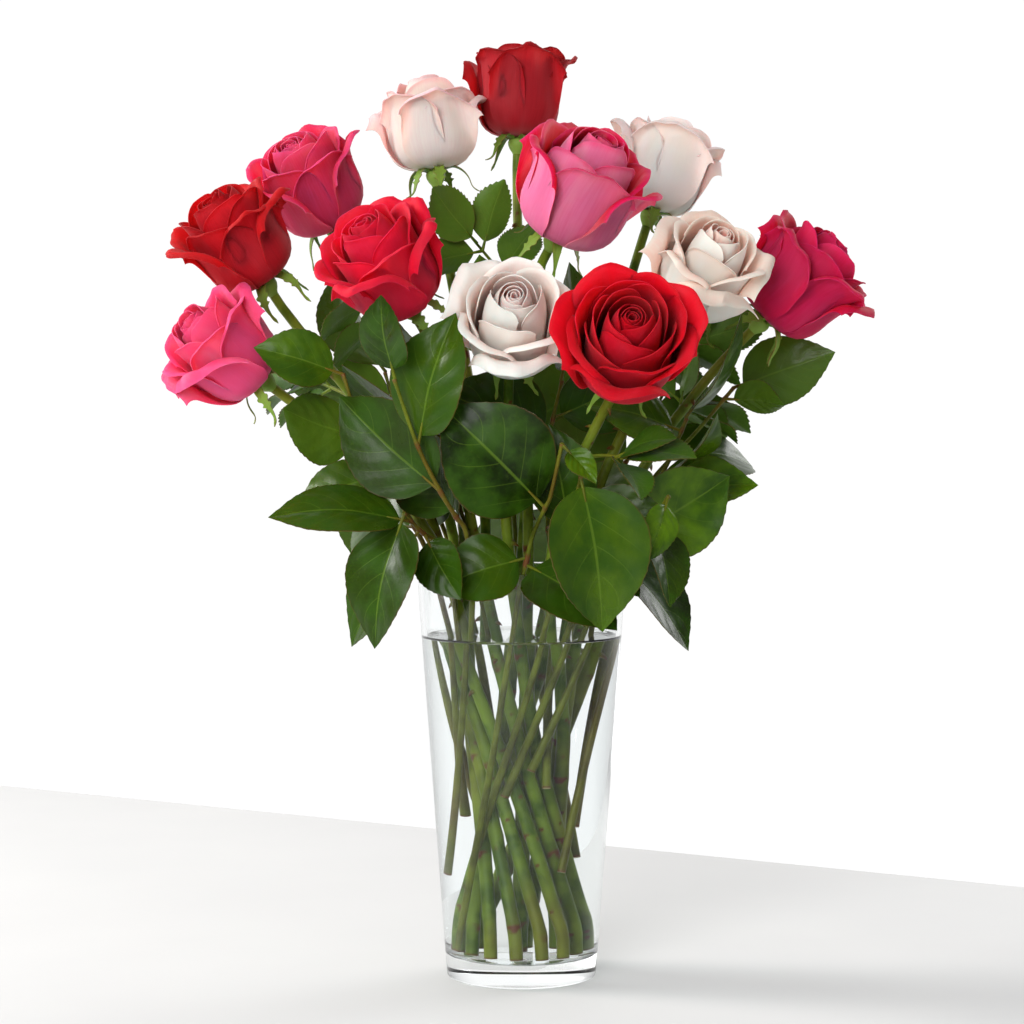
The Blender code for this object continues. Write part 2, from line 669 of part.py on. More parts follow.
def leaf_matrix(root, way, roll, facing):
    """Puts a leaf's root at root, its tip along way and its upper side towards facing, turned by roll."""
    along = Vector(way).normalized()
    out = (Vector(facing) - along * Vector(facing).dot(along)).normalized()
    out.rotate(Matrix.Rotation(math.radians(roll), 3, along))
    across = along.cross(out)
    axes = Matrix((across, along, out)).transposed()
    return Matrix.Translation(Vector(root)) @ axes.to_4x4()


def tree_of(points, faces):
    return BVHTree.FromPolygons([Vector(p) for p in points], faces)


def tree_of_object(obj):
    graph = bpy.context.evaluated_depsgraph_get()
    mesh = obj.evaluated_get(graph).to_mesh()
    tree = BVHTree.FromPolygons(
        [obj.matrix_world @ v.co for v in mesh.vertices], [tuple(p.vertices) for p in mesh.polygons]
    )
    obj.evaluated_get(graph).to_mesh_clear()
    return tree


# The turns that a leaf tries, in degrees: (about its stalk's root sideways, up or down, about itself).
TRIES = sorted(
    [(a, b, c) for a in range(-75, 76, 15) for b in range(-60, 61, 15) for c in (0, -30, 30)],
    key=lambda turns: (abs(turns[0]) + abs(turns[1]) + abs(turns[2]) * 0.8, turns),
)
SCALES = (1.0, 0.85, 0.7, 0.55, 0.4)  # a leaf that finds no room grows smaller
SKIN = 0.0012  # the room around a leaf while it looks for its place


def outward_at(place):
    flat = np.array([place[0], place[1], 0.0])
    return unit(unit(flat) + [0.0, 0.0, 0.35])


def turned_way(way, facing, sideways, upward):
    along = Vector(unit(way))
    out = Vector(unit(facing))
    across = out.cross(along).normalized()
    along = Matrix.Rotation(math.radians(sideways), 3, out) @ along
    along = Matrix.Rotation(math.radians(upward), 3, across) @ along
    return np.array(along)


def clear_place(root, way, outline, length, width, obstacles, siblings):
    """The leaf's matrix and scale at the first turn where it touches nothing else."""
    grown = (outline, length + SKIN, width + 2 * SKIN, LEAF_THICKNESS + 2 * SKIN)
    whole = leaf_shape(*grown)
    blade = leaf_shape(*grown, stalk=False)
    facing = outward_at(np.asarray(root) + unit(way) * length * 0.5)
    for scale in SCALES:
        for sideways, upward, roll in TRIES:
            aim = turned_way(way, facing, sideways, upward)
            matrix = leaf_matrix(root, aim, roll, facing) @ Matrix.Scale(scale, 4)
            if touches(whole, matrix, obstacles) or touches(blade, matrix, siblings):
                continue
            return matrix, scale
    return matrix, scale


def touches(shape, matrix, trees):
    points, faces = shape
    tree = BVHTree.FromPolygons([matrix @ p for p in points], faces)
    return any(tree.overlap(other) for other in trees)


def grown_leaf(name, root, way, outline, length, width, obstacles, siblings, look, group):
    """A leaf, as an object in group. Its blade joins siblings."""
    matrix, scale = clear_place(root, way, outline, length, width, obstacles, siblings)
    mesh = leaf_mesh(name, outline, length * scale, width * scale)
    mesh.materials.append(look)
    leaf = bpy.data.objects.new(name, mesh)
    group.objects.link(leaf)
    leaf.matrix_world = matrix @ Matrix.Scale(1 / scale, 4)
    leaf.hide_render = True
    leaf.display_type = "WIRE"
    thickened(leaf, LEAF_THICKNESS)
    points, faces = leaf_shape(outline, length * scale, width * scale, LEAF_THICKNESS, stalk=False)
    siblings.append(tree_of([leaf.matrix_world @ p for p in points], faces))
    return leaf


def along_twig(points, share):
    """The point of the twig at a share of its length above the vase's mouth."""
    top = [p for p in points if p[2] > VASE_HEIGHT]
    line = evenly(np.array([points[len(points) - len(top) - 1], *top]), 101)
    return line[int(round(share * 100))]


def joined(twig, leaves):
    """Makes the twig and the leaves in the collection one body."""
    union = twig.modifiers.new("leaves", "BOOLEAN")
    union.operation = "UNION"
    union.solver = "EXACT"
    union.operand_type = "COLLECTION"
    union.collection = leaves


def helper_collection(name, helpers):
    made = bpy.data.collections.new(name)
    helpers.children.link(made)
    return made


def build_spray(plan, twig, points, obstacles, twig_tree, look, helpers):
    leaves = helper_collection(plan.name + "_leaves", helpers)
    siblings = [twig_tree]
    for k, leaf in enumerate(plan.leaves):
        length, width = SALAL_LEAF_LENGTH * leaf.size, SALAL_LEAF_WIDTH * leaf.size * leaf.wide
        grown_leaf(
            f"{plan.name}_leaf_{k + 1}", along_twig(points, leaf.at), leaf.way, SALAL_OUTLINE,
            length, width, obstacles, siblings, look, leaves,
        )
    joined(twig, leaves)
    return siblings[1:]


# Where the leaflets stand: (share of the stalk's length, degrees that they turn from it)
LEAFLETS = {
    3: [(1.0, 0), (0.80, 60), (0.80, -60)],
    5: [(1.0, 0), (0.86, 58), (0.86, -58), (0.45, 66), (0.45, -66)],
}
STALK_LENGTH = 0.050
STALK_RADIUS = 0.0010
SIDE_LEAFLET = 0.88


def build_rose_leaf(plan, host_points, host_radius, obstacles, look, group, helpers):
    level = VASE_HEIGHT + plan.height
    root = np.array([np.interp(level, host_points[:, 2], host_points[:, k]) for k in range(3)])
    way = unit(plan.way)
    start = root + way * (host_radius + GAP + STALK_RADIUS)
    end = start + way * STALK_LENGTH * plan.stalk
    middle = (start + end) / 2 + np.array([0.0, 0.0, STALK_LENGTH * plan.stalk * 0.06])
    line = evenly(bezier(start, middle, middle, end), 4)
    taper = np.linspace(STALK_RADIUS * 1.3, STALK_RADIUS * 0.8, 4)
    stalk = made_mesh(tube(plan.name, line, taper, TWIG_SIDES_RESOLUTION, look, group))
    leaves = helper_collection(plan.name + "_leaflets", helpers)
    siblings = [tree_of_object(stalk)]
    for k, (share, degrees) in enumerate(LEAFLETS[plan.leaflets]):
        at = line[0] + (line[-1] - line[0]) * share * 0.98
        aim = Matrix.Rotation(math.radians(degrees), 3, Vector(outward_at(at))) @ Vector(way)
        size = SIDE_LEAFLET if degrees else 1.0
        grown_leaf(
            f"{plan.name}_leaflet_{k + 1}", at, np.array(aim), LEAFLET_OUTLINE, ROSE_LEAFLET_LENGTH * size,
            ROSE_LEAFLET_WIDTH * size, obstacles, siblings, look, leaves,
        )
    joined(stalk, leaves)
    return siblings


def main():
    clear_scene()
    group = collection("roses_in_a_vase")
    helpers = collection("helpers")
    helpers.hide_render = True
    cutters = bpy.data.collections.new("water_cutters")
    helpers.children.link(cutters)
    looks = {
        "glass": material("clear_glass", (0.95, 0.98, 0.98), 0.02, 1.0),
        "water": material("water", (0.90, 0.96, 0.97), 0.0, 1.0),
        "stem": material("green_stem", (0.16, 0.30, 0.05), 0.45),
        "salal": material("salal_green", (0.04, 0.14, 0.02), 0.35),
        "rose_leaf": material("rose_leaf_green", (0.06, 0.20, 0.03), 0.40),
        "red": material("red_petals", (0.55, 0.01, 0.02), 0.5),
        "pink": material("pink_petals", (0.80, 0.06, 0.22), 0.5),
        "cream": material("cream_pink_petals", (0.90, 0.68, 0.64), 0.5),
    }

    plans = ROSES + SPRAYS
    routes = [rose_route(p) if isinstance(p, Rose) else spray_route(p) for p in plans]
    radii = [
        np.linspace(ROSE_STEM_RADIUS, ROSE_NECK_RADIUS, len(r))
        if isinstance(p, Rose)
        else np.linspace(TWIG_RADIUS, TWIG_END_RADIUS, len(r))
        for p, r in zip(plans, routes)
    ]
    routes = settle(plans, routes, radii)
    for k, plan in enumerate(plans):
        if isinstance(plan, Rose):
            routes[k] = with_straight_end(routes[k], unit(plan.faces))
            radii[k] = np.append(radii[k], radii[k][-1])

    build_vase(looks["glass"], group)
    obstacles = [tree_of_object(bpy.data.objects["vase"])]
    stems, stem_trees = [], {}
    for plan, points, size in zip(plans, routes, radii):
        is_rose = isinstance(plan, Rose)
        resolution = STEM_SIDES_RESOLUTION if is_rose else TWIG_SIDES_RESOLUTION
        stems.append((plan.name, points, size, resolution))
        name = plan.name + "_stem" if is_rose else plan.name
        body = tube(name, points, size, resolution, looks["stem" if is_rose else "salal"], group)
        if not is_rose:
            body = made_mesh(body)
        stem_trees[plan.name] = tree_of_object(body)
        if is_rose:
            way = unit(plan.faces)
            hip = points[-1] + way * GAP
            calyx = build_calyx(plan.name + "_calyx", size[-1], hip, way, looks["stem"], group)
            base = points[-1] + way * (HIP_HEIGHT + 2 * GAP)
            bloom = build_bloom(plan.name + "_bloom", plan.size, base, way, looks[plan.petals], group)
            obstacles += [tree_of_object(calyx), tree_of_object(bloom)]
    build_water(stems, looks["water"], group, cutters)

    for plan, points in zip(plans, routes):
        if isinstance(plan, Spray):
            others = obstacles + [tree for name, tree in stem_trees.items() if name != plan.name]
            twig = bpy.data.objects[plan.name]
            own = stem_trees[plan.name]
            obstacles += build_spray(plan, twig, points, others, own, looks["salal"], helpers)
    for plan in ROSE_LEAVES:
        host = [p.name for p in plans].index(plan.host)
        others = obstacles + [tree for name, tree in stem_trees.items() if name != plan.host]
        obstacles += build_rose_leaf(
            plan, routes[host], radii[host].max(), others, looks["rose_leaf"], group, helpers
        )


main()
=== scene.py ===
"""Twelve cut roses with salal greens in a tapered glass vase of water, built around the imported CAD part."""

import math
from collections import namedtuple

import bpy
import numpy as np
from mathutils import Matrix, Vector


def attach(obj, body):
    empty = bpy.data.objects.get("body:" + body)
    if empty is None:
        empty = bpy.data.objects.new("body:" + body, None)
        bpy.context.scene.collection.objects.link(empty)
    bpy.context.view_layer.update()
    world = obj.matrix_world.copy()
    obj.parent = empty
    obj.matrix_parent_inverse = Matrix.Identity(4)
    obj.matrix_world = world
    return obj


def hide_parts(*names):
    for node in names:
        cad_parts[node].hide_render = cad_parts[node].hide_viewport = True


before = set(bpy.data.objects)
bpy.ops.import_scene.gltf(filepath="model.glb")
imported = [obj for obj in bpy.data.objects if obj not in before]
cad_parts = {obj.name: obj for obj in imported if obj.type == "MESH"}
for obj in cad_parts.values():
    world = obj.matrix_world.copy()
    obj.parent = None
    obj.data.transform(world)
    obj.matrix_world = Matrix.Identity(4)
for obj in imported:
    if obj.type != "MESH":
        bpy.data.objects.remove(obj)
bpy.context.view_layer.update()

# The vase and its water, as in the CAD part.
VASE_HEIGHT = 0.240
FOOT_RADIUS = 0.0440
MOUTH_RADIUS = 0.0617
WALL = 0.0030
FLOOR = 0.0135
WATER_LEVEL = 0.1995
WATER_INTO_GLASS = 0.00012  # the water's skin lies this deep in the glass, so that no air film shows
HIP_HEIGHT = 0.0085

# The leaves' places are read from the CAD leaves, which are this thick.
LEAF_THICKNESS = 0.0008
PETIOLE_LENGTH = 0.0060
SALAL_WIDEST = 0.42
LEAFLET_WIDEST = 0.26


# Colours.


def colour(code):
    """The linear RGBA colour for an sRGB code such as c02040."""
    channels = [int(code[k:k + 2], 16) / 255 for k in (0, 2, 4)]
    return (*[c / 12.92 if c <= 0.04045 else ((c + 0.055) / 1.055) ** 2.4 for c in channels], 1.0)


# Node materials.


class Look:
    """A Principled material and short ways to wire nodes into it."""

    def __init__(self, name, **values):
        self.material = bpy.data.materials.new(name)
        self.material.use_nodes = True
        self.tree = self.material.node_tree
        self.shader = self.tree.nodes["Principled BSDF"]
        self.output = self.tree.nodes["Material Output"]
        for socket, value in values.items():
            self.shader.inputs[socket.replace("_", " ")].default_value = value

    def node(self, kind, inputs=(), **settings):
        made = self.tree.nodes.new("ShaderNode" + kind)
        for name, value in settings.items():
            setattr(made, name, value)
        for socket, value in enumerate(inputs):
            if value is None:
                continue
            if isinstance(value, bpy.types.NodeSocket):
                self.tree.links.new(value, made.inputs[socket])
            else:
                made.inputs[socket].default_value = value
        return made

    def attribute(self, name):
        return self.node("Attribute", attribute_name=name).outputs["Fac"]

    def math(self, operation, *values):
        return self.node("Math", values, operation=operation).outputs[0]

    def step(self, value, low, high):
        """0 below low, 1 above high, and smooth between them."""
        made = self.node("MapRange", (value, low, high, 0.0, 1.0), interpolation_type="SMOOTHSTEP")
        return made.outputs[0]

    def mix(self, factor, a, b, blend="MIX"):
        made = self.node("Mix", data_type="RGBA", blend_type=blend)
        for index, value in ((0, factor), (6, a), (7, b)):
            if isinstance(value, bpy.types.NodeSocket):
                self.tree.links.new(value, made.inputs[index])
            else:
                made.inputs[index].default_value = value
        return made.outputs[2]

    def place(self, scale=(1, 1, 1)):
        """Where a point lies in the object's own frame, in metres, times scale."""
        spot = self.node("TexCoord").outputs["Object"]
        return self.node("VectorMath", (spot, scale), operation="MULTIPLY").outputs[0]

    def combine(self, x, y, z):
        return self.node("CombineXYZ", (x, y, z)).outputs[0]

    def noise(self, vector, scale, detail=3.0, roughness=0.5):
        made = self.node("TexNoise")
        self.tree.links.new(vector, made.inputs["Vector"])
        made.inputs["Scale"].default_value = scale
        made.inputs["Detail"].default_value = detail
        made.inputs["Roughness"].default_value = roughness
        return made.outputs[0]

    def bump(self, height, distance, strength=1.0):
        made = self.node("Bump")
        made.inputs["Strength"].default_value = strength
        made.inputs["Distance"].default_value = distance
        self.tree.links.new(height, made.inputs["Height"])
        self.tree.links.new(made.outputs[0], self.shader.inputs["Normal"])

    def feed(self, socket, value):
        self.tree.links.new(value, self.shader.inputs[socket])


def clear_look(name, tint, index, shine, shade):
    """Clear glass or water. Soft light passes straight through it, a little dimmed to shade."""
    look = Look(
        name, Base_Color=colour(tint), IOR=index, Transmission_Weight=1.0, Specular_Tint=colour(shine),
    )
    ripple = look.noise(look.place(), 90.0, 2.0)
    look.feed("Roughness", look.math("MULTIPLY", ripple, 0.012))
    path = look.node("LightPath")
    through = look.node("BsdfTransparent", (colour(shade),))
    soft_ray = look.math("MAXIMUM", path.outputs["Is Shadow Ray"], path.outputs["Is Diffuse Ray"])
    mixed = look.node("MixShader", (soft_ray,))
    look.tree.links.new(look.shader.outputs[0], mixed.inputs[1])
    look.tree.links.new(through.outputs[0], mixed.inputs[2])
    look.tree.links.new(mixed.outputs[0], look.output.inputs["Surface"])
    return look.material


Petals = namedtuple("Petals", "inside outside heart claw rim")
VEIN_SLANT = 0.36  # how far up a leaf its side veins reach on their way to its edge


def petal_look(name, shades):
    """Velvet petals, with tints for the inside, outside, foot and rim, and a tint for the middle of the bloom
    that is partly its own deeper colour and partly painted shade.
    """
    look = Look(
        name, Roughness=0.62, Specular_IOR_Level=0.10, Sheen_Weight=0.03, Sheen_Roughness=0.4,
        Subsurface_Weight=0.60, Subsurface_Scale=0.0040, Subsurface_Radius=(1.0, 0.45, 0.40),
    )
    across, along = look.attribute("across"), look.attribute("along")
    ring, inside, chance = look.attribute("ring"), look.attribute("inside"), look.attribute("chance")
    inside_shade, outside_shade, heart_and_shade, claw, rim = (colour(c) for c in shades)
    made = look.mix(inside, outside_shade, inside_shade)
    # The middle petals take the heart tint: painted shade of the bloom's deep centre, over the deeper colour
    # that a rose's middle has.
    made = look.mix(look.math("MULTIPLY", look.step(ring, 0.55, 0.05), 0.85), made, heart_and_shade)
    fan = look.combine(
        look.math("MULTIPLY", across, look.math("ADD", look.math("MULTIPLY", along, 5.0), 9.0)),
        look.math("MULTIPLY", along, 1.5), look.math("MULTIPLY", chance, 40.0),
    )
    veins = look.noise(fan, 2.2, 4.0, 0.6)
    cloud = look.noise(look.combine(across, along, look.math("MULTIPLY", chance, 19.0)), 1.3, 2.0)
    made = look.mix(look.step(veins, 0.35, 0.75), made, look.mix(0.22, made, rim))
    made = look.mix(look.math("MULTIPLY", look.step(cloud, 0.42, 0.72), 0.30), made, claw)
    made = look.mix(look.math("MULTIPLY", look.step(along, 0.30, 0.02), 0.80), made, claw)
    made = look.mix(look.math("MULTIPLY", look.step(along, 0.93, 1.0), 0.50), made, rim)
    level = look.math("ADD", look.math("MULTIPLY", chance, 0.24), 0.88)
    made = look.mix(1.0, made, look.combine(level, level, level), "MULTIPLY")
    look.feed("Base Color", made)
    look.bump(veins, 0.00025, 0.5)
    return look.material


def leaf_look(name, dark, light, yellow, vein, edge, pairs, roughness):
    """A leaf with a pale midrib and side veins, a browned edge, and its own share of yellow."""
    look = Look(
        name, Specular_IOR_Level=0.17, Subsurface_Weight=0.12, Subsurface_Scale=0.0012,
        Subsurface_Radius=(0.6, 1.0, 0.2),
    )
    across, along = look.attribute("across"), look.attribute("along")
    tint, under = look.attribute("tint"), look.math("SUBTRACT", 1.0, look.attribute("inside"))
    wide = look.math("ABSOLUTE", across)
    spread = look.noise(look.place(), 55.0, 4.0)
    fleck = look.noise(look.place(), 420.0, 3.0)
    made = look.mix(look.step(spread, 0.38, 0.66), colour(dark), colour(light))
    made = look.mix(tint, made, look.mix(look.step(spread, 0.3, 0.7), colour(yellow), colour(light)))
    made = look.mix(look.math("MULTIPLY", look.step(fleck, 0.55, 0.75), 0.08), made, colour(vein))
    slant = look.math("SUBTRACT", along, look.math("MULTIPLY", look.math("POWER", wide, 1.15), VEIN_SLANT))
    phase = look.math("ABSOLUTE", look.math("SINE", look.math("MULTIPLY", slant, math.pi * pairs)))
    side_vein = look.math("MULTIPLY", look.step(phase, 0.13, 0.02), look.step(wide, 0.95, 0.45))
    midrib = look.step(wide, 0.040, 0.010)
    lines = look.math("MAXIMUM", midrib, look.math("MULTIPLY", side_vein, 0.45))
    made = look.mix(look.math("MULTIPLY", lines, 0.60), made, colour(vein))
    made = look.mix(look.math("MULTIPLY", under, 0.45), made, colour(vein))
    made = look.mix(look.math("MULTIPLY", look.step(wide, 0.965, 1.0), 0.65), made, colour(edge))
    look.feed("Base Color", made)
    look.feed("Roughness", look.math("ADD", look.math("MULTIPLY", spread, 0.25), roughness - 0.12))
    look.bump(look.math("ADD", fleck, look.math("MULTIPLY", lines, -0.9)), 0.00015, 0.5)
    return look.material


def stem_look(name, green, pale, olive, brown, end):
    """Green bark, browner round scars and thorns, with a pale cut end."""
    look = Look(name, Specular_IOR_Level=0.14, Subsurface_Weight=0.08, Subsurface_Scale=0.001)
    streak = look.noise(look.place((1, 1, 0.12)), 900.0, 4.0)
    cloud = look.noise(look.place(), 60.0, 4.0)
    stretch = look.noise(look.place((1, 1, 0.5)), 14.0, 2.0)
    made = look.mix(look.step(cloud, 0.35, 0.65), colour(green), colour(pale))
    made = look.mix(look.math("MULTIPLY", look.step(stretch, 0.46, 0.62), 0.55), made, colour(olive))
    made = look.mix(look.math("MULTIPLY", look.step(streak, 0.5, 0.8), 0.35), made, colour(pale))
    scar = look.attribute("scar")
    made = look.mix(look.step(scar, 0.15, 0.85), made, colour(brown))
    cut = look.attribute("cut")
    made = look.mix(look.step(cut, 0.5, 0.9), made, colour(end))
    look.feed("Base Color", made)
    look.feed("Roughness", look.math("ADD", look.math("MULTIPLY", cloud, 0.3), 0.28))
    look.bump(streak, 0.0002, 0.5)
    return look.material


# Meshes.


class Shape:
    """Vertices, faces and named values that become one mesh."""

    def __init__(self):
        self.points, self.faces, self.values, self.looks = [], [], {}, []
        self.count = 0

    def add(self, points, faces, look=0, **values):
        points = np.asarray(points, float).reshape(-1, 3)
        for name in set(self.values) | set(values):
            rows = self.values.setdefault(name, [np.zeros(self.count)] if self.count else [])
            rows.append(np.broadcast_to(np.asarray(values.get(name, 0.0), float), (len(points),)))
        self.points.append(points)
        for face in faces:
            self.faces.append([self.count + int(k) for k in face])
            self.looks.append(look)
        self.count += len(points)

    def piece(self, name, materials, crease=50):
        mesh = bpy.data.meshes.new(name)
        mesh.from_pydata(np.concatenate(self.points).tolist(), [], self.faces)
        for key, rows in sorted(self.values.items()):
            made = mesh.attributes.new(key, "FLOAT", "POINT")
            made.data.foreach_set("value", np.concatenate(rows).astype(np.float32))
        for look in materials:
            mesh.materials.append(look)
        mesh.polygons.foreach_set("material_index", self.looks)
        mesh.polygons.foreach_set("use_smooth", [True] * len(mesh.polygons))
        mesh.set_sharp_from_angle(angle=math.radians(crease))
        obj = bpy.data.objects.new(name, mesh)
        bpy.context.scene.collection.objects.link(obj)
        return obj


def grid_faces(rows, columns, start=0, flip=False):
    index = np.arange(rows * columns).reshape(rows, columns) + start
    faces = np.stack([index[:-1, :-1], index[:-1, 1:], index[1:, 1:], index[1:, :-1]], -1).reshape(-1, 4)
    return faces[:, ::-1] if flip else faces


def grid_normals(grid):
    along = np.gradient(grid, axis=0)
    across = np.gradient(grid, axis=1)
    normal = np.cross(across, along)
    return normal / np.maximum(np.linalg.norm(normal, axis=-1, keepdims=True), 1e-12)


def add_sheet(shape, grid, thickness, look=0, **values):
    """Adds a thin closed body round a grid of points. inside is 1 on the side that its normals point to."""
    rows, columns = grid.shape[:2]
    normal = grid_normals(grid)
    half = np.asarray(thickness) / 2
    half = half[..., None] if half.ndim else half
    points = np.concatenate([(grid - normal * half).reshape(-1, 3), (grid + normal * half).reshape(-1, 3)])
    count = rows * columns
    edge = np.arange(count).reshape(rows, columns)
    loop = np.concatenate([edge[0, :-1], edge[:-1, -1], edge[-1, :0:-1], edge[:0:-1, 0]])
    ahead = np.roll(loop, -1)
    rim = np.stack([loop, loop + count, ahead + count, ahead], -1)
    faces = np.concatenate([grid_faces(rows, columns, 0, True), grid_faces(rows, columns, count), rim])
    both = {}
    for key, value in values.items():
        both[key] = np.tile(np.broadcast_to(value, (rows, columns)).ravel(), 2)
    both["inside"] = np.repeat([0.0, 1.0], count)
    shape.add(points, faces, look, **both)


def smooth_line(points, count):
    """A smooth curve through the points, as evenly spaced points."""
    points = np.asarray(points, float)
    padded = np.concatenate([[2 * points[0] - points[1]], points, [2 * points[-1] - points[-2]]])
    line = []
    for a, b, c, d in zip(padded, padded[1:], padded[2:], padded[3:]):
        t = np.linspace(0, 1, 12, endpoint=False)[:, None]
        square, cube = 2 * a - 5 * b + 4 * c - d, 3 * b - a - 3 * c + d
        line.append(0.5 * (2 * b + (c - a) * t + square * t ** 2 + cube * t ** 3))
    line = np.concatenate([*line, points[-1:]])
    reach = np.concatenate([[0], np.cumsum(np.linalg.norm(np.diff(line, axis=0), axis=1))])
    even = np.linspace(0, reach[-1], count)
    return np.stack([np.interp(even, reach, line[:, k]) for k in range(3)], -1)


def frames_along(line):
    """Two sideways directions at each point of a line, without twist."""
    ahead = np.gradient(line, axis=0)
    ahead /= np.linalg.norm(ahead, axis=1, keepdims=True)
    side = np.cross(ahead[0], [0.0, 1.0, 0.0] if abs(ahead[0][1]) < 0.9 else [1.0, 0.0, 0.0])
    sides = []
    for way in ahead:
        side = side - way * side.dot(way)
        side /= np.linalg.norm(side)
        sides.append(side)
    sides = np.array(sides)
    return ahead, sides, np.cross(ahead, sides)


def add_tube(shape, line, radii, sides, look=0, scar=0.0, cut_start=False, wobble=None):
    """Adds a closed tube along a line. Each end has its own ring, so that a cut end has its own tint."""
    ahead, side, up = frames_along(line)
    angle = np.arange(sides) * math.tau / sides
    radii = np.broadcast_to(radii, (len(line),))[:, None] * (1.0 if wobble is None else wobble)
    rings = (
        line[:, None] + side[:, None] * (np.cos(angle)[None, :, None] * radii[..., None])
        + up[:, None] * (np.sin(angle)[None, :, None] * radii[..., None])
    )
    first = line[0] + (rings[0] - line[0]) * 0.88 - ahead[0] * radii[0].mean() * 0.06
    last = line[-1] + (rings[-1] - line[-1]) * 0.7 + ahead[-1] * radii[-1].mean() * 0.3
    points = np.concatenate([first[None], rings, last[None]])
    rows = len(points)
    index = np.arange(rows * sides).reshape(rows, sides)
    following = np.roll(index, -1, axis=1)
    faces = np.stack([index[:-1], following[:-1], following[1:], index[1:]], -1).reshape(-1, 4).tolist()
    faces += [index[0][::-1].tolist(), index[-1].tolist()]
    scars = np.zeros((rows, sides))
    scars[1:-1] = np.broadcast_to(scar, (rows - 2, sides))
    cuts = np.zeros((rows, sides))
    if cut_start:
        cuts[0] = 1.0
        scars[1] = 0.7
    shape.add(points, faces, look, scar=scars.ravel(), cut=cuts.ravel())


# What the CAD part says.


def cad_points(node):
    """The node's corners, each once, and the pairs of them that share an edge."""
    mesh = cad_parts[node].data
    spots = np.zeros(len(mesh.vertices) * 3)
    mesh.vertices.foreach_get("co", spots)
    points, index = np.unique(np.round(spots.reshape(-1, 3), 7), axis=0, return_inverse=True)
    ends = np.zeros(len(mesh.edges) * 2, int)
    mesh.edges.foreach_get("vertices", ends)
    return points, index.ravel()[ends].reshape(-1, 2)


def unit(v):
    v = np.asarray(v, float)
    return v / np.linalg.norm(v)


def slice_centre(points, edges, z):
    """The middle of the cut through a stem at a height."""
    a, b = points[edges[:, 0]], points[edges[:, 1]]
    crossing = (a[:, 2] - z) * (b[:, 2] - z) < 0
    a, b = a[crossing], b[crossing]
    cut = a + (b - a) * ((z - a[:, 2]) / (b[:, 2] - a[:, 2]))[:, None]
    return (cut.min(0) + cut.max(0)) / 2


Rose = namedtuple("Rose", "line way cap base height")


def measured_rose(name):
    """A rose's stem line, its bloom's direction, base and height, from its CAD nodes."""
    stem, edges = cad_points(name + "_stem")
    bloom, _ = cad_points(name + "_bloom")
    middle = bloom.mean(0)
    nearest = np.argsort(np.linalg.norm(stem - middle, axis=1))[:8]
    cap = stem[nearest].mean(0)
    way = unit(middle - cap)
    reach = (bloom - cap) @ way
    low = stem[:, 2].min()
    bend = cap - way * 0.010
    heights = np.linspace(low + 0.0002, bend[2] - 0.004, 24)
    line = [slice_centre(stem, edges, z) for z in heights]
    line = np.array([*line, bend, cap])
    return Rose(line, way, cap, cap + way * reach.min(), np.ptp(reach) / 1.021)


Leaf = namedtuple("Leaf", "root along across up length half")


def leaf_points(points, edges):
    """The middles of the leaves' thickness, grouped by leaf, and the corners that belong to no leaf."""
    apart = np.linalg.norm(points[:, None] - points[None], axis=-1)
    pairs = np.abs(apart - LEAF_THICKNESS) < 4e-6
    single = pairs.sum(1) == 1
    partner = np.where(single, pairs.argmax(1), -1)
    owner = np.full(len(points), -1)
    middles = []
    for k in range(len(points)):
        m = partner[k]
        if m > k and partner[m] == k:
            owner[[k, m]] = len(middles)
            middles.append((points[k] + points[m]) / 2)
    group = np.arange(len(middles))
    for _ in range(len(middles)):
        before = group.copy()
        for a, b in edges:
            if owner[a] >= 0 and owner[b] >= 0:
                group[owner[a]] = group[owner[b]] = min(group[owner[a]], group[owner[b]])
        if (before == group).all():
            break
    middles = np.array(middles)
    return [middles[group == k] for k in sorted(set(group)) if (group == k).sum() >= 9], points[owner < 0]


def measured_leaf(middles, widest):
    """A leaf's root, axes and size from its CAD body. widest is where along it the CAD leaf is widest."""
    apart = np.linalg.norm(middles[:, None] - middles[None], axis=-1)
    ends = np.unravel_index(apart.argmax(), apart.shape)
    alone = [np.sort(apart[k])[1] for k in ends]
    tip, foot = middles[ends[int(alone[1] > alone[0])]], middles[ends[int(alone[1] <= alone[0])]]
    foot = middles[np.linalg.norm(middles - foot, axis=1) < 0.0023].mean(0)
    from_tip = np.linalg.norm(middles - tip, axis=1)
    level = np.abs(from_tip[:, None] - from_tip[None]) < 1e-4
    across_pair = np.unravel_index((apart * level).argmax(), apart.shape)
    half = apart[across_pair] / 2
    crown = (middles[across_pair[0]] + middles[across_pair[1]]) / 2
    length = (tip - crown) @ unit(tip - foot) / (1 - widest)
    stalk_end = middles[np.abs((tip - middles) @ unit(tip - foot) - length) < 0.0015]
    foot = stalk_end.mean(0)
    along = unit(tip - foot)
    length = np.linalg.norm(tip - foot)
    across = unit(middles[across_pair[1]] - middles[across_pair[0]])
    across = unit(across - along * across.dot(along))
    up = np.cross(across, along)
    if (crown - foot) @ up < 0:
        across, up = -across, -up
    return Leaf(foot - along * PETIOLE_LENGTH, along, across, up, length, half)


def rings_of(points, spread):
    """How many corners there are in each group that stands close together, and the group's centre."""
    left = list(range(len(points)))
    found = []
    while left:
        group, queue = [], [left.pop(0)]
        while queue:
            k = queue.pop()
            group.append(k)
            near = [m for m in left if np.linalg.norm(points[m] - points[k]) < spread]
            left = [m for m in left if m not in near]
            queue += near
        found.append((len(group), points[group].mean(0)))
    return found


# Roses.


Bloom = namedtuple("Bloom", "count cup middle rim top roll ruffle point turn seed")
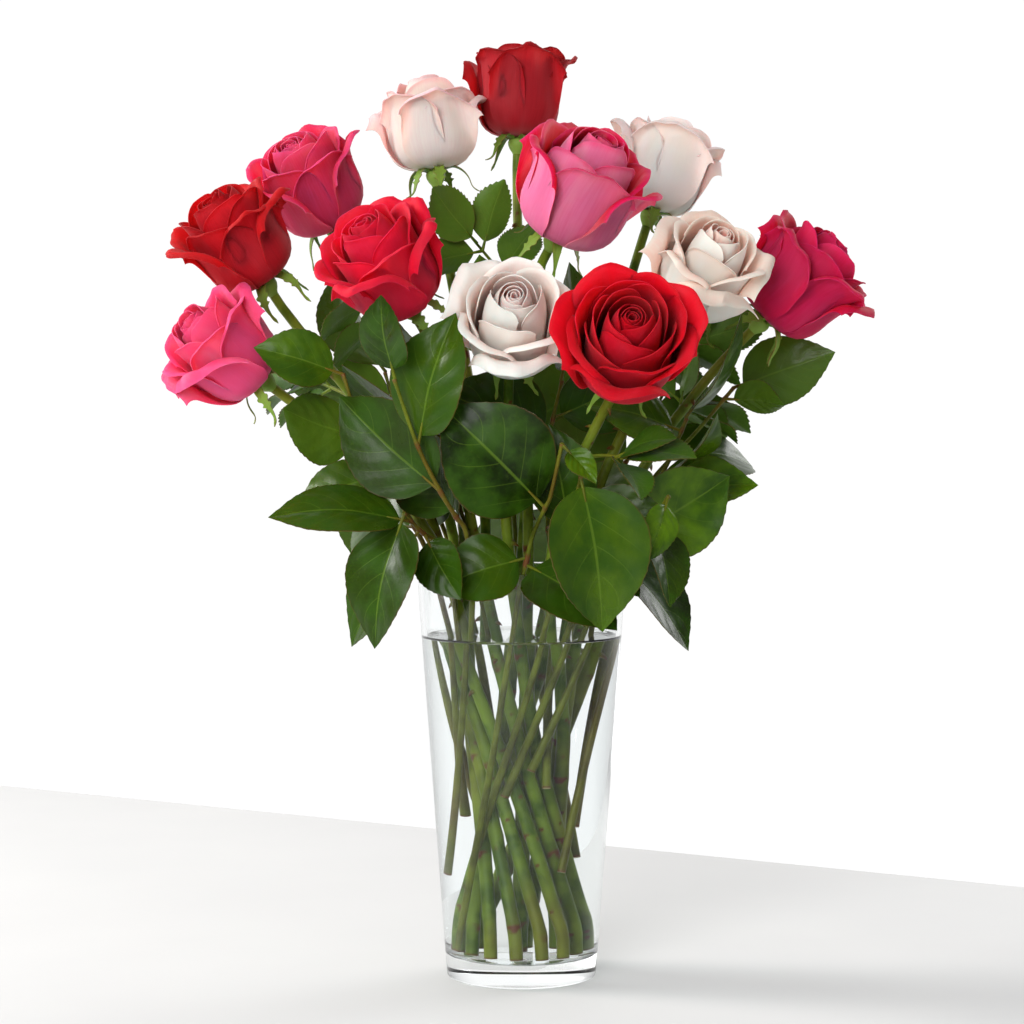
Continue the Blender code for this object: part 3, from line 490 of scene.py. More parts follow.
# count is the number of petals. cup is the widest part of the cup, and middle and rim are how far the
# middle and the outermost rims stand out, all as shares of the CAD bloom's radius. top is the outermost
# rims' height as a share of the bloom's, roll how far the outer rims turn over in degrees, ruffle how wavy
# and point how pointed they are, turn the bloom's own turn in degrees, and seed its random draws.
BLOOMS = {
    "rose_01": Bloom(26, 0.76, 0.40, 1.10, 0.80, 110, 1.0, 0.05, 20, 11),
    "rose_02": Bloom(27, 0.74, 0.44, 1.12, 0.80, 90, 1.5, 0.08, 70, 12),
    "rose_03": Bloom(26, 0.78, 0.42, 1.06, 0.84, 80, 1.0, 0.06, 200, 13),
    "rose_04": Bloom(30, 0.76, 0.46, 1.12, 0.80, 90, 1.5, 0.07, 40, 14),
    "rose_05": Bloom(22, 0.80, 0.34, 1.12, 0.80, 130, 0.8, 0.05, 10, 15),
    "rose_06": Bloom(24, 0.76, 0.44, 1.06, 0.92, 80, 1.5, 0.10, 90, 46),
    "rose_07": Bloom(24, 0.80, 0.42, 1.10, 0.82, 100, 0.9, 0.05, 150, 17),
    "rose_08": Bloom(22, 0.76, 0.40, 1.08, 0.86, 110, 1.0, 0.05, 60, 18),
    "rose_09": Bloom(23, 0.76, 0.40, 1.10, 0.78, 100, 1.2, 0.05, 130, 19),
    "rose_10": Bloom(31, 0.76, 0.50, 1.08, 0.80, 60, 1.3, 0.03, 0, 20),
    "rose_11": Bloom(22, 0.76, 0.40, 1.10, 0.80, 120, 1.2, 0.06, 250, 21),
    "rose_12": Bloom(28, 0.76, 0.46, 1.14, 0.80, 90, 1.6, 0.07, 310, 22),
}
GOLDEN_TURN = math.radians(137.5)
PETAL_THICKNESS = 0.00045
BLOOM_WIDTH_TO_HEIGHT = 37.0 / 60.0


def smoothstep(low, high, x):
    t = np.clip((x - low) / (high - low), 0, 1)
    return t * t * (3 - 2 * t)


def bezier(points, count):
    a, b, c, d = (np.array(p, float) for p in points)
    t = np.linspace(0, 1, count)[:, None]
    return a * (1 - t) ** 3 + 3 * b * t * (1 - t) ** 2 + 3 * c * t ** 2 * (1 - t) + d * t ** 3


def petal_profile(foot, cup, rim, cup_level, rim_level):
    """(distance along, radius, height, outward normal's two parts) down the middle of a petal."""
    low = bezier([(foot, 0), (cup * 0.86, 0), (cup, cup_level * 0.35), (cup, cup_level)], 24)
    rise = rim_level - cup_level
    handle = (rim - (rim - cup) * 0.55, rim_level - rise * 0.18)
    high = bezier([(cup, cup_level), (cup, cup_level + rise * 0.62), handle, (rim, rim_level)], 24)
    line = np.concatenate([low, high[1:]])
    step = np.gradient(line, axis=0)
    step /= np.linalg.norm(step, axis=1, keepdims=True)
    reach = np.concatenate([[0], np.cumsum(np.linalg.norm(np.diff(line, axis=0), axis=1))])
    return reach, line[:, 0], line[:, 1], step[:, 1], -step[:, 0]


def petal_form(style, share, radius, height, rng):
    """How a petal stands in the bloom: its profile, and half of its greatest width."""
    knots = [0.0, 0.25, 0.5, 0.75, 1.0]
    cup = radius * np.interp(share, knots, [0.07, 0.26, 0.48, style.cup * 0.87, style.cup])
    rim = radius * np.interp(
        share, knots, [0.05, 0.15, style.middle * 0.82, (style.middle + style.rim) / 2, style.rim],
    )
    top = height * np.interp(share, knots, [0.95, 1.0, 0.98, (0.96 + style.top) / 2, style.top])
    top *= 1 + rng.uniform(-0.035, 0.035)
    rim *= 1 + rng.uniform(-0.08, 0.08) * smoothstep(0.15, 0.4, share)
    cup_level = height * np.interp(share, [0, 1], [0.52, 0.40])
    profile = petal_profile(radius * 0.09, cup, rim, cup_level, top)
    return profile, radius * (0.17 + 0.56 * share ** 0.75) * rng.uniform(0.94, 1.06)


def petal_outline(style, share, outer, length, half_width, rng):
    """An unrolled petal: its points' shares across and along, and its own length and half width there."""
    rows, columns = (20, 21) if share > 0.6 else (16, 17) if share > 0.25 else (14, 17)
    v = 1 - (1 - np.linspace(0, 1, rows)) ** 1.35
    u = np.linspace(-1, 1, columns)
    u, v = np.meshgrid(np.sign(u) * np.abs(u) ** 0.9, v)
    round_off = 0.15 + 0.09 * outer
    tip = style.point * outer * np.exp(-((u / 0.17) ** 2))
    own_length = length * (1 - round_off * np.abs(u) ** 3.0 + tip)
    own_length *= 1 + 0.012 * outer * np.sin(u * rng.uniform(5, 9) + rng.uniform(0, 6))
    own_length *= 1 + rng.uniform(-0.07, 0.07) * u * smoothstep(0.1, 0.5, share)
    half = half_width * (0.26 + 0.74 * smoothstep(0.0, 0.60, v)) * (1 - 0.05 * smoothstep(0.8, 1.0, v))
    return u, v, own_length, half


def roll_rim(style, share, outer, s, own_length, rng):
    """The distances along the petal once its rim has rolled outwards, and how far the roll stands out."""
    over = math.radians(style.roll * (0.45 + 0.55 * outer) * rng.uniform(0.7, 1.2))
    over = over * (0.45 + 0.55 * smoothstep(0.1, 0.5, share))
    roll_radius = 0.0011 + 0.0042 * smoothstep(0.35, 1.0, share) * rng.uniform(0.8, 1.25)
    start = own_length - over * roll_radius
    t = np.clip(s - start, 0, None)
    return s - t + roll_radius * np.sin(t / roll_radius), roll_radius * (1 - np.cos(t / roll_radius))


def curl_sides(outer, u, v, a, half, rng):
    """The distances across the petal once its two sides have curled back, and how far they stand out."""
    side_radius = 0.0065 * rng.uniform(0.8, 1.3)
    side_start = half * (1 - 0.42 * outer * rng.uniform(0.8, 1.15, size=2)[(u > 0).astype(int)])
    side = np.clip(np.abs(a) - side_start, 0, None)
    lift = smoothstep(0.42, 0.95, v)
    turn_over = side / side_radius
    curl = side_radius * (1 - np.cos(turn_over)) * lift
    return np.sign(a) * (np.abs(a) - (side - side_radius * np.sin(turn_over)) * lift), curl


def ruffle_rim(style, share, outer, u, v, bend, rng):
    """Adds the rim's ruffle to how far the petal stands out, and one side a little more than the other."""
    grow = v ** 2.5
    wave = np.sin(u * rng.uniform(3.0, 4.6) + rng.uniform(0, 6)) * 0.55
    wave += np.sin(u * rng.uniform(6.5, 9.5) + v * 3 + rng.uniform(0, 6)) * 0.30
    bend = bend + style.ruffle * 0.0016 * (0.25 + 0.75 * outer) * smoothstep(0.1, 0.6, share) * wave * grow
    return bend + (0.0004 + 0.0011 * smoothstep(0.1, 0.6, share)) * u * smoothstep(0.1, 0.7, v)


def petal_grid(style, share, turn, radius, height, rng):
    """One petal. share runs from 0 at the middle of the bloom to 1 at its outermost petal."""
    outer = smoothstep(0.55, 1.0, share)
    (reach, radii, levels, out_r, out_z), half_width = petal_form(style, share, radius, height, rng)
    u, v, own_length, half = petal_outline(style, share, outer, reach[-1], half_width, rng)
    s, bend = roll_rim(style, share, outer, v * own_length, own_length, rng)
    a, curl = curl_sides(outer, u, v, u * half, half, rng)
    bend = ruffle_rim(style, share, outer, u, v, bend + curl, rng)
    # It wraps round the bloom's axis.
    r = np.interp(s, reach, radii) + bend * np.interp(s, reach, out_r)
    z = np.interp(s, reach, levels) + bend * np.interp(s, reach, out_z)
    angle = turn + a / np.maximum(np.interp(s, reach, radii), half_width / 2.9)
    return np.stack([r * np.cos(angle), r * np.sin(angle), z], -1), u, v


def axes_at(way):
    """Two directions square to way."""
    way = unit(way)
    side = unit(np.cross([0.0, 0.0, 1.0] if abs(way[2]) < 0.95 else [1.0, 0.0, 0.0], way))
    return side, np.cross(way, side), way


def build_bloom(name, rose, look):
    style = BLOOMS[name]
    rng = np.random.default_rng(style.seed)
    radius = rose.height * BLOOM_WIDTH_TO_HEIGHT
    axes = np.array(axes_at(rose.way))
    shape = Shape()
    for k in range(style.count):
        share = k / (style.count - 1)
        turn = math.radians(style.turn) + k * GOLDEN_TURN + rng.uniform(-0.12, 0.12)
        grid, u, v = petal_grid(style, share, turn, radius, rose.height, rng)
        grid = rose.base + grid @ axes
        add_sheet(
            shape, grid[:, ::-1], PETAL_THICKNESS, along=v[:, ::-1], across=u[:, ::-1], ring=share,
            chance=rng.uniform(0, 1),
        )
    bloom = shape.piece(name + "_petals", [look])
    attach(bloom, "root")
    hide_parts(name + "_bloom")


HIP_START = -0.0012  # the hip's lower end, down the stem from the cap
HIP_PROFILE = [  # (share of the hip's height, radius)
    (0.0, 0.0029), (0.10, 0.0033), (0.30, 0.0047), (0.55, 0.0058), (0.78, 0.0060), (0.94, 0.0054),
    (1.0, 0.0040),
]
SEPALS = 5
SEPAL_THICKNESS = 0.0005
SEPAL_WIDTHS = [  # (share of the sepal's length, share of its widest half width)
    (0, 0.8), (0.15, 1.0), (0.4, 0.78), (0.62, 0.42), (0.8, 0.22), (0.92, 0.30), (1, 0.03),
]
SEPAL_HALF_WIDTH = 0.0034


def build_calyx(name, rose, look):
    """The hip and five sepals with slender, curling tips."""
    rng = np.random.default_rng(300 + int(name[-2:]))
    axes = np.array(axes_at(rose.way))
    shape = Shape()
    levels = [HIP_START + (HIP_HEIGHT - HIP_START) * h for h, _ in HIP_PROFILE]
    line = smooth_line(np.array([[0, 0, level] for level in levels]), 18)
    radii = np.interp(line[:, 2], levels, [r for _, r in HIP_PROFILE])
    add_tube(shape, rose.cap + line @ axes, radii, 24)
    for k in range(SEPALS):
        length = rng.uniform(0.026, 0.034)
        rows, columns = 26, 7
        v = np.linspace(0, 1, rows)
        falls = [35, -20 - rng.uniform(0, 30), -70 - rng.uniform(0, 15), -40 + rng.uniform(-40, 60)]
        fall = np.radians(np.interp(v, [0, 0.25, 0.7, 1], falls))
        step = length / (rows - 1)
        out = HIP_PROFILE[4][1] * 0.9 + np.concatenate([[0], np.cumsum(np.cos(fall[:-1]) * step)])
        rise = HIP_HEIGHT * 0.93 + np.concatenate([[0], np.cumsum(np.sin(fall[:-1]) * step)])
        width = SEPAL_HALF_WIDTH * np.interp(v, *zip(*SEPAL_WIDTHS))
        if k % 2 == 0:
            low_lobe = 0.0022 * np.exp(-(((v - 0.42) / 0.03) ** 2))
            high_lobe = 0.0018 * np.exp(-(((v - 0.56) / 0.025) ** 2))
            width = width + low_lobe + high_lobe
        u = np.linspace(-1, 1, columns)
        u, v2 = np.meshgrid(u, v)
        turn = math.tau * k / SEPALS + 0.4 + rng.uniform(-0.12, 0.12)
        outward = np.array([math.cos(turn), math.sin(turn), 0.0])
        sideways = np.array([-math.sin(turn), math.cos(turn), 0.0])
        sway = np.cumsum(np.sin(v * 4 + rng.uniform(0, 6))) * step * 0.35 * v
        grid = (
            outward * (out[:, None] + 0 * u)[..., None]
            + sideways * (u * width[:, None] + sway[:, None])[..., None]
            + np.array([0, 0, 1.0]) * (rise[:, None] + 0.22 * np.abs(u) * width[:, None])[..., None]
        )
        add_sheet(
            shape, rose.cap + grid @ axes, SEPAL_THICKNESS, along=v2, across=u,
            tint=rng.uniform(0.2, 0.9), scar=v2 ** 6 * 0.6,
        )
    calyx = shape.piece(name + "_hip_and_sepals", [look])
    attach(calyx, "root")
    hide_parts(name + "_calyx")


STEM_RADII = (0.0036, 0.0028)  # at its cut end and at its neck
SPECKS = 34
THORNS = 9


def add_thorn(shape, root, out, down, size):
    """A small hooked thorn on a long foot."""
    t = np.linspace(0, 1, 7)
    line = root + np.outer(t, out) * size + np.outer(t ** 2, down) * size * 0.55 - out * size * 0.12
    add_tube(shape, line, size * 0.42 * (1 - t) ** 0.85 + 0.00012, 8, scar=0.35 + 0.5 * t[:, None])


def build_stem(name, rose, look):
    """A stem with swollen nodes, scars of stripped leaves and thorns, and a pale cut end."""
    rng = np.random.default_rng(500 + int(name[-2:]))
    line = smooth_line(rose.line, 190)
    reach = np.concatenate([[0], np.cumsum(np.linalg.norm(np.diff(line, axis=0), axis=1))])
    radii = np.interp(reach, [0, reach[-1]], STEM_RADII)
    sides = 14
    angle = np.arange(sides) * math.tau / sides
    scar = np.zeros((len(line), sides))
    swell = np.ones((len(line), sides))
    spot = rng.uniform(0.012, 0.03)
    turn = rng.uniform(0, math.tau)
    while spot < reach[-1] - 0.05:
        away = (reach - spot)[:, None]
        beside = np.cos(angle - turn)[None]
        swell += 0.10 * np.exp(-((away / 0.0035) ** 2)) * (0.4 + 0.6 * (beside + 1) / 2)
        ring = np.exp(-((away / 0.0011) ** 2)) * smoothstep(-0.2, 0.6, beside + 0 * away)
        eye = np.exp(-(((away + 0.0022) / 0.0016) ** 2)) * smoothstep(0.72, 0.9, beside + 0 * away)
        scar = np.maximum(scar, np.maximum(0.9 * ring, 0.85 * eye))
        spot += rng.uniform(0.034, 0.062)
        turn += GOLDEN_TURN
    for _ in range(SPECKS):
        where, facing = rng.uniform(0, reach[-1] - 0.03), rng.uniform(0, math.tau)
        away = (reach - where)[:, None]
        beside = np.cos(angle - facing)[None]
        close = np.exp(-((away / 0.0014) ** 2)) * smoothstep(0.86, 0.97, beside + 0 * away)
        scar = np.maximum(scar, 0.8 * close)
    shape = Shape()
    add_tube(shape, line, radii, sides, scar=scar, cut_start=True, wobble=swell)
    ahead, side, up = frames_along(line)
    for _ in range(THORNS):
        k = int(rng.integers(80, 178))
        facing = rng.uniform(0, math.tau)
        out = side[k] * math.cos(facing) + up[k] * math.sin(facing)
        add_thorn(shape, line[k] + out * radii[k], out, -ahead[k], rng.uniform(0.003, 0.0045))
    stem = shape.piece(name + "_stalk", [look])
    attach(stem, "root")
    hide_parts(name + "_stem")


# Leaves.


SALAL_WIDTHS = [  # (share of the leaf's length, share of its widest half width)
    (0, 0.06), (0.03, 0.34), (0.08, 0.60), (0.16, 0.80), (0.28, 0.96), (0.40, 1.0),
    (0.55, 0.93), (0.70, 0.74), (0.82, 0.48), (0.91, 0.24), (0.97, 0.08), (1.0, 0.004),
]
LEAFLET_WIDTHS = [
    (0, 0.10), (0.04, 0.36), (0.12, 0.70), (0.26, 0.95), (0.42, 1.0), (0.58, 0.95),
    (0.72, 0.78), (0.84, 0.52), (0.93, 0.25), (0.98, 0.07), (1.0, 0.004),
]
# The blade's arch: (share of its length, height as a share of its length).
RISE = [(0, 0.0), (0.14, 0.035), (0.42, 0.075), (0.72, 0.055), (1.0, 0.0)]
BLADE_THICKNESS = 0.0005

LeafKind = namedtuple("LeafKind", "widths pairs teeth tooth quilt columns rows")
# pairs is the number of side veins on a side, teeth how many there are along an edge, tooth their size,
# and quilt how far the blade swells between its side veins.
SALAL_LEAF = LeafKind(SALAL_WIDTHS, 5, 34, 0.0005, 0.0006, 15, 48)
ROSE_LEAFLET = LeafKind(LEAFLET_WIDTHS, 8, 15, 0.0011, 0.00030, 13, 62)


def smooth_table(table, x):
    """A smooth curve through a table's points."""
    knots = smooth_line([(a, b, 0.0) for a, b in table], 160)
    return np.interp(x, knots[:, 0], knots[:, 1])


def add_leaf(shape, leaf, kind, tint, rng):
    """A leaf's blade with sunken veins and toothed edges, and its petiole."""
    v = np.linspace(0, 1, kind.rows)
    u = np.linspace(-1, 1, kind.columns)
    u, v = np.meshgrid(np.sign(u) * np.abs(u) ** 0.85, v)
    half = leaf.half * smooth_table(kind.widths, v)
    saw = (v * kind.teeth) % 1.0
    edge = np.abs(u) > 0.995
    nick = np.sign(u) * edge * kind.tooth * (saw - 0.4)
    a = u * half + nick * np.clip(half / leaf.half * 2, 0, 1) * (v > 0.03)
    y = v * leaf.length + edge * kind.tooth * saw * 0.8 * (v < 0.99)
    slant = v - VEIN_SLANT * np.abs(u) ** 1.15
    bulge = np.abs(np.sin(slant * math.pi * kind.pairs))
    body = np.clip(half / leaf.half * 1.4, 0, 1)
    z = leaf.length * smooth_table(RISE, v) + np.abs(a) * 0.16
    inner = smoothstep(0.02, 0.25, np.abs(u)) * smoothstep(1.05, 0.7, np.abs(u))
    z += kind.quilt * (bulge - 0.6) * body * inner
    z -= kind.quilt * 0.9 * np.exp(-((a / 0.0011) ** 2)) * body
    swing = rng.uniform(0.0006, 0.0018)
    z += swing * np.sin(v * rng.uniform(5, 8) + rng.uniform(0, 6) + (u > 0) * 2) * u ** 2 * body
    z += leaf.length * rng.uniform(-0.02, 0.01) * smoothstep(0.6, 1.0, v)
    z += np.abs(a) * rng.uniform(-0.10, 0.14) * smoothstep(0.3, 1.0, np.abs(u))
    spots = leaf.root + leaf.along * PETIOLE_LENGTH
    grid = spots + a[..., None] * leaf.across + y[..., None] * leaf.along + z[..., None] * leaf.up
    add_sheet(shape, grid, BLADE_THICKNESS * (0.35 + 0.65 * body), along=v, across=u, tint=tint)
    t = np.linspace(0, 1, 8)
    stalk = leaf.root + np.outer(t, leaf.along) * (PETIOLE_LENGTH + leaf.length * 0.10)
    stalk += np.outer(smooth_table(RISE, np.clip(t * 0.12, 0, 1)) * leaf.length - 0.0007, leaf.up)
    add_tube(shape, stalk, np.linspace(0.0011, 0.0006, 8), 8, look=1)


TWIG_RADII = (0.0023, 0.0010)
TWIG_SIDES = 6  # of the CAD twigs
# How yellow each leaf is, from the lowest on its twig to the highest.
TINTS = {
    "salal_01": [0.1, 0.15, 0.35, 0.1],
    "salal_02": [0.2, 0.25, 0.3, 0.15],
    "salal_03": [0.15, 0.35, 0.0, 0.7],
    "salal_04": [0.2, 0.1, 0.3, 0.5],
    "salal_05": [0.1, 0.9, 0.2, 0.8],
    "salal_06": [0.95, 0.7, 0.5, 0.75],
    "salal_07": [0.3, 0.4, 0.25, 0.2],
    "salal_08": [0.5, 0.45, 0.4, 0.6],
}


def build_spray(name, twig_look, leaf_material):
    rng = np.random.default_rng(700 + int(name[-2:]))
    points, edges = cad_points(name)
    groups, rest = leaf_points(points, edges)
    leaves = sorted((measured_leaf(m, SALAL_WIDEST) for m in groups), key=lambda leaf: leaf.root[2])
    rings = [centre for count, centre in rings_of(rest, 0.006) if count == TWIG_SIDES]
    route = sorted(rings + [leaf.root for leaf in leaves], key=lambda p: p[2])
    kept = [route[0]]
    for spot in route[1:]:
        if np.linalg.norm(spot - kept[-1]) > 0.003:
            kept.append(spot)
    line = smooth_line(kept, 110)
    reach = np.linspace(0, 1, len(line))
    shape = Shape()
    sides = 10
    radii = np.interp(reach, [0, 1], TWIG_RADII)
    knobs = np.zeros(len(line))
    for leaf in leaves:
        near = np.linalg.norm(line - leaf.root, axis=1)
        knobs += np.exp(-((near / 0.003) ** 2))
    add_tube(
        shape, line, radii * (1 + 0.30 * np.clip(knobs, 0, 1)), sides, look=1,
        scar=np.clip(knobs, 0, 1)[:, None] * 0.6, cut_start=True,
    )
    tints = TINTS.get(name, [0.2])
    for k, leaf in enumerate(leaves):
        tint = tints[k % len(tints)]
        add_leaf(shape, leaf, SALAL_LEAF, tint, rng)
    spray = shape.piece(name + "_spray", [leaf_material, twig_look])
    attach(spray, "root")
    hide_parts(name)


def build_rose_leaf(name, stalk_look, leaf_material):
    rng = np.random.default_rng(900 + int(name[-2:]))
    points, edges = cad_points(name)
    groups, rest = leaf_points(points, edges)
    leaves = [measured_leaf(m, LEAFLET_WIDEST) for m in groups]
    middle = np.mean([leaf.root for leaf in leaves], axis=0)
    centres = [centre for _, centre in rings_of(rest, 0.0035)]
    start = max(centres, key=lambda c: np.linalg.norm(c - middle))
    leaves.sort(key=lambda leaf: np.linalg.norm(leaf.root - start))
    t = np.linspace(-0.06, 1, 24)
    arch = np.sin(np.clip(t, 0, 1) * math.pi) * 0.0008
    line = start + np.outer(t, leaves[-1].root - start) + np.outer(arch, (0, 0, 1.0))
    shape = Shape()
    add_tube(shape, line, np.linspace(0.0013, 0.0008, 24), 10, look=1, scar=0.3)
    tint = rng.uniform(0.15, 0.5)
    for leaf in leaves:
        add_leaf(shape, leaf, ROSE_LEAFLET, tint, rng)
    made = shape.piece(name + "_leaflets", [leaf_material, stalk_look])
    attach(made, "root")
    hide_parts(name)


# The vase and the water.


TURN_STEPS = 144  # the corners round the vase and the water


def outer_radius(z):
    return FOOT_RADIUS + (MOUTH_RADIUS - FOOT_RADIUS) * z / VASE_HEIGHT


def turned(name, profile, look):
    """A closed body turned round the axis from a profile that starts and ends on it."""
    inner = np.array(profile[1:-1], float)
    angle = np.arange(TURN_STEPS) * math.tau / TURN_STEPS
    radii, heights = inner[:, 0, None], inner[:, 1, None]
    rings = np.stack([radii * np.cos(angle), radii * np.sin(angle), heights + 0 * angle], -1)
    index = np.arange(len(inner) * TURN_STEPS).reshape(len(inner), TURN_STEPS)
    following = np.roll(index, -1, axis=1)
    faces = np.stack([index[:-1], following[:-1], following[1:], index[1:]], -1).reshape(-1, 4).tolist()
    points = np.concatenate([rings.reshape(-1, 3), [[0, 0, profile[0][1]], [0, 0, profile[-1][1]]]])
    low, high = len(points) - 2, len(points) - 1
    faces += [(low, int(b), int(a)) for a, b in zip(index[0], following[0])]
    faces += [(high, int(a), int(b)) for a, b in zip(index[-1], following[-1])]
    shape = Shape()
    shape.add(points, faces)
    return shape.piece(name, [look], crease=40)


def arc(centre, radius, start, end, count):
    """Points on an arc, with angles in degrees from +X towards +Z."""
    angles = np.radians(np.linspace(start, end, count))
    return [(centre[0] + radius * math.cos(a), centre[1] + radius * math.sin(a)) for a in angles]


def build_vase(look):
    """The vase, from the middle of its underside up its outside, over its lip and down its inside."""
    lean = math.degrees(math.atan2(MOUTH_RADIUS - FOOT_RADIUS, VASE_HEIGHT))
    foot = 0.0016
    lip = WALL / 2
    inside_foot = outer_radius(FLOOR) - WALL
    profile = [(0.0, 0.0012), (FOOT_RADIUS * 0.55, 0.0011), (FOOT_RADIUS * 0.80, 0.0003)]
    profile += arc((FOOT_RADIUS - foot, foot), foot, -90, -lean, 8)
    profile += [(outer_radius(z), z) for z in np.linspace(0.012, VASE_HEIGHT - 0.006, 14)]
    lip_centre = (outer_radius(VASE_HEIGHT) - lip - 0.0001, VASE_HEIGHT - lip)
    profile += arc(lip_centre, lip, -lean, 180 - lean, 10)
    profile += [(outer_radius(z) - WALL, z) for z in np.linspace(VASE_HEIGHT - 0.006, FLOOR + 0.006, 14)]
    profile += arc((inside_foot - 0.0038, FLOOR + 0.0040), 0.0040, -lean, -90, 7)
    profile += [(inside_foot * 0.6, FLOOR - 0.0001), (0.0, FLOOR - 0.0002)]
    vase = turned("glass_vase", profile, look)
    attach(vase, "root")
    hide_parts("vase")


def build_water(look):
    """The water, from the middle of its floor up the glass to its climbing edge and in over its surface."""
    into = WATER_INTO_GLASS
    climb = 0.0016
    inside_foot = outer_radius(FLOOR) - WALL
    wall = [(outer_radius(z) - WALL + into, z) for z in np.linspace(FLOOR + 0.006, WATER_LEVEL + climb, 24)]
    profile = [(0.0, FLOOR - 0.0002 - into), (inside_foot * 0.6, FLOOR - 0.0001 - into)]
    profile += arc((inside_foot - 0.0038, FLOOR + 0.0040), 0.0040 + into, -90, -4, 7)
    profile += wall
    edge = outer_radius(WATER_LEVEL) - WALL
    for t in np.linspace(0.06, 1, 10):
        profile.append((edge - 0.0042 * t, WATER_LEVEL + climb * (1 - t) ** 2.2))
    profile += [(edge * 0.6, WATER_LEVEL), (0.0, WATER_LEVEL)]
    water = turned("still_water", profile, look)
    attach(water, "root")
    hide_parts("water")


# The stage, the light and the camera.


TABLETOP_THICKNESS = 0.03
TABLETOP_GAP = 0.0002  # keeps the vase's underside from sharing a plane with the tabletop


def build_stage():
    """A pale tabletop whose far edge runs aslant behind the vase."""
    look = Look("pale_tabletop", Roughness=0.6, Specular_IOR_Level=0.2)
    cloud = look.noise(look.place(), 6.0, 3.0)
    look.feed("Base Color", look.mix(cloud, colour("dcdcdc"), colour("e4e4e3")))
    edge_left, edge_right = np.array([-0.456, 0.755]), np.array([0.354, 0.272])
    along = unit(edge_right - edge_left)
    front = np.array([along[1], -along[0]])
    front = front if front[1] < 0 else -front
    back_left, back_right = edge_left - along * 3, edge_right + along * 3
    corners = [back_left, back_right, back_right + front * 5, back_left + front * 5]
    points = [(x, y, z) for z in (-TABLETOP_THICKNESS, 0.0) for x, y in corners]
    faces = [(0, 1, 2, 3), (7, 6, 5, 4), (0, 4, 5, 1), (1, 5, 6, 2), (2, 6, 7, 3), (3, 7, 4, 0)]
    shape = Shape()
    shape.add(points, [f[::-1] for f in faces])
    table = shape.piece("tabletop", [look.material], crease=20)
    table.location.z = -TABLETOP_GAP


def area_light(name, place, target, size, power, shade):
    """A square lamp, facing its target. Its size is in metres and its power in watts."""
    lamp = bpy.data.lights.new(name, "AREA")
    lamp.size = size
    lamp.energy = power
    lamp.color = colour(shade)[:3]
    obj = bpy.data.objects.new(name, lamp)
    obj.location = place
    obj.rotation_euler = (Vector(target) - Vector(place)).to_track_quat("-Z", "Y").to_euler()
    bpy.context.scene.collection.objects.link(obj)


FRONT_GREY = (0.28, 0.28, 0.285, 1)
BACK_WHITE = (1.02, 1.02, 1.02, 1)


def build_world():
    """White light from behind and a soft grey from the front. The backdrop itself looks white all round."""
    world = bpy.data.worlds.new("studio")
    bpy.context.scene.world = world
    world.use_nodes = True
    tree = world.node_tree
    link = tree.links.new
    spot = tree.nodes.new("ShaderNodeTexCoord")
    part = tree.nodes.new("ShaderNodeSeparateXYZ")
    half = tree.nodes.new("ShaderNodeMath")
    half.operation = "MULTIPLY_ADD"
    half.inputs[1].default_value = 0.5
    half.inputs[2].default_value = 0.5
    ramp = tree.nodes.new("ShaderNodeValToRGB")
    front, back = ramp.color_ramp.elements
    front.position, front.color = 0.58, FRONT_GREY
    back.position, back.color = 0.93, BACK_WHITE
    path = tree.nodes.new("ShaderNodeLightPath")
    seen = tree.nodes.new("ShaderNodeMix")
    seen.data_type = "RGBA"
    sockets = {socket.identifier: socket for socket in (*seen.inputs, *seen.outputs)}
    sockets["B_Color"].default_value = BACK_WHITE
    link(spot.outputs["Generated"], part.inputs[0])
    link(part.outputs["Y"], half.inputs[0])
    link(half.outputs[0], ramp.inputs[0])
    link(ramp.outputs[0], sockets["A_Color"])
    link(path.outputs["Is Camera Ray"], sockets["Factor_Float"])
    link(sockets["Result_Color"], tree.nodes["Background"].inputs["Color"])


def build_light():
    build_world()
    area_light("window", (-1.9, 0.4, 1.3), (0, 0, 0.35), 0.55, 36, "fffdfa")
    area_light("softbox", (-0.8, -2.1, 1.0), (0, 0, 0.38), 1.3, 48, "ffffff")
    area_light("rim", (1.3, 1.1, 1.1), (0, 0, 0.40), 0.9, 12, "ffffff")


CAMERA_LENS = 90  # mm
CAMERA_PLACE = (-0.0056, -1.5, 0.333)
CAMERA_DIP = 2.3  # degrees below level


def build_camera():
    data = bpy.data.cameras.new("camera")
    data.lens = CAMERA_LENS
    data.sensor_width = 36
    camera = bpy.data.objects.new("camera", data)
    camera.location = CAMERA_PLACE
    camera.rotation_euler = (math.radians(90 - CAMERA_DIP), 0, 0)
    bpy.context.scene.collection.objects.link(camera)
    bpy.context.scene.camera = camera
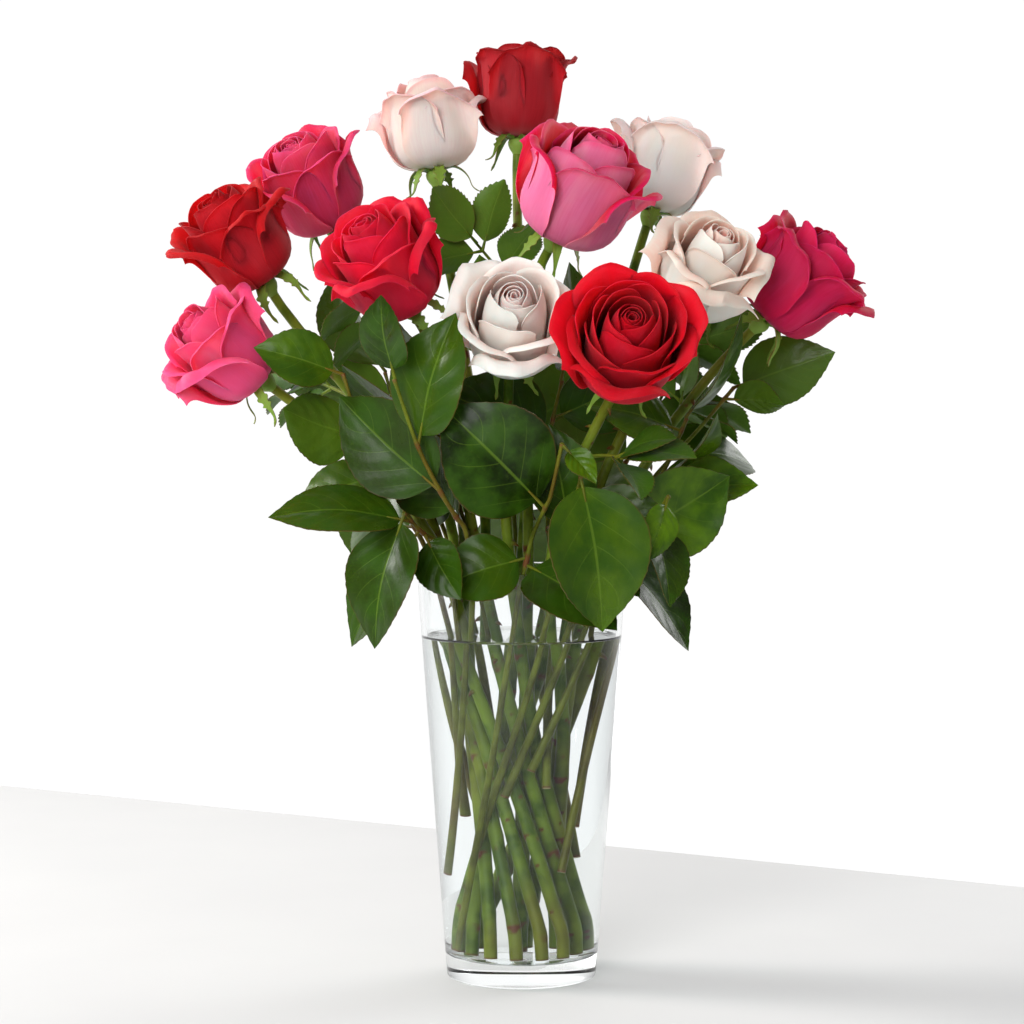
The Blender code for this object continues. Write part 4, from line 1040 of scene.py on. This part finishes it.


# Each rose's petal colours, and a name for its petals' finish that is not used.
# The third colour of each rose, its heart, is partly painted shade of the bloom's deep centre.
SHADES = {
    "rose_01": (Petals("ee3a6a", "e8426e", "c81040", "f08098", "ea4c80"), "pink_petals"),
    "rose_02": (Petals("c20a10", "b81420", "8a0004", "b03038", "7c0408"), "red_petals"),
    "rose_03": (Petals("e01c48", "cc2c50", "b40828", "d87080", "e44c86"), "pink_petals"),
    "rose_04": (Petals("da102e", "d81838", "b40820", "c83848", "c01030"), "red_petals"),
    "rose_05": (Petals("f6c8c8", "f6d6cc", "eaa6b0", "f2dec0", "e8a8b0"), "cream_petals"),
    "rose_06": (Petals("9c0610", "a01822", "700008", "a84448", "5c0408"), "red_petals"),
    "rose_07": (Petals("b80828", "ee6c94", "980418", "f0a0a8", "e0246c"), "pink_petals"),
    "rose_08": (Petals("f8d6d4", "f8dfd6", "eeb2bc", "f4e2c8", "f4d6d4"), "cream_petals"),
    "rose_09": (Petals("f8dcd4", "f8eae0", "f6b8b8", "f4e6d6", "f6f0e4"), "cream_petals"),
    "rose_10": (Petals("d4081e", "d01028", "b00414", "b83040", "b80818"), "red_petals"),
    "rose_11": (Petals("f8cec0", "f8e8dc", "ee8078", "f6dcc8", "f6eede"), "cream_petals"),
    "rose_12": (Petals("b8082c", "b81040", "8c0418", "b83860", "d0205c"), "pink_petals"),
}


def main():
    stem = stem_look("rose_bark", "365206", "6c8424", "7c7420", "5c3016", "e0d4a8")
    calyx = leaf_look("sepal_green", "3a6010", "5c8220", "7c9430", "86a448", "7a5a32", 6, 0.5)
    twig = stem_look("salal_bark", "444a0c", "646e1a", "6a4c1a", "6a3226", "c8b890")
    salal = leaf_look("salal_leather", "122202", "2a4808", "5a7e0e", "587420", "4c3216", 5, 0.30)
    leaflet = leaf_look("rose_leaflet", "18340a", "32580e", "588616", "64862c", "5a3a1c", 8, 0.40)
    build_vase(clear_look("clear_glass", "fcfefe", 1.50, "b4b4b4", "f0f2f2"))
    build_water(clear_look("clear_water", "fdfefe", 1.333, "646464", "eef0f0"))
    for number in range(1, 13):
        name = f"rose_{number:02d}"
        rose = measured_rose(name)
        build_stem(name, rose, stem)
        build_calyx(name, rose, calyx)
        shades, slot = SHADES[name]
        build_bloom(name, rose, petal_look(name + "_velvet", shades))
    for number in range(1, 14):
        build_spray(f"salal_{number:02d}", twig, salal)
    for number in range(1, 7):
        build_rose_leaf(f"rose_leaf_{number:02d}", stem, leaflet)
    build_stage()
    build_light()
    build_camera()
    bpy.context.scene.view_settings.view_transform = "Standard"


main()
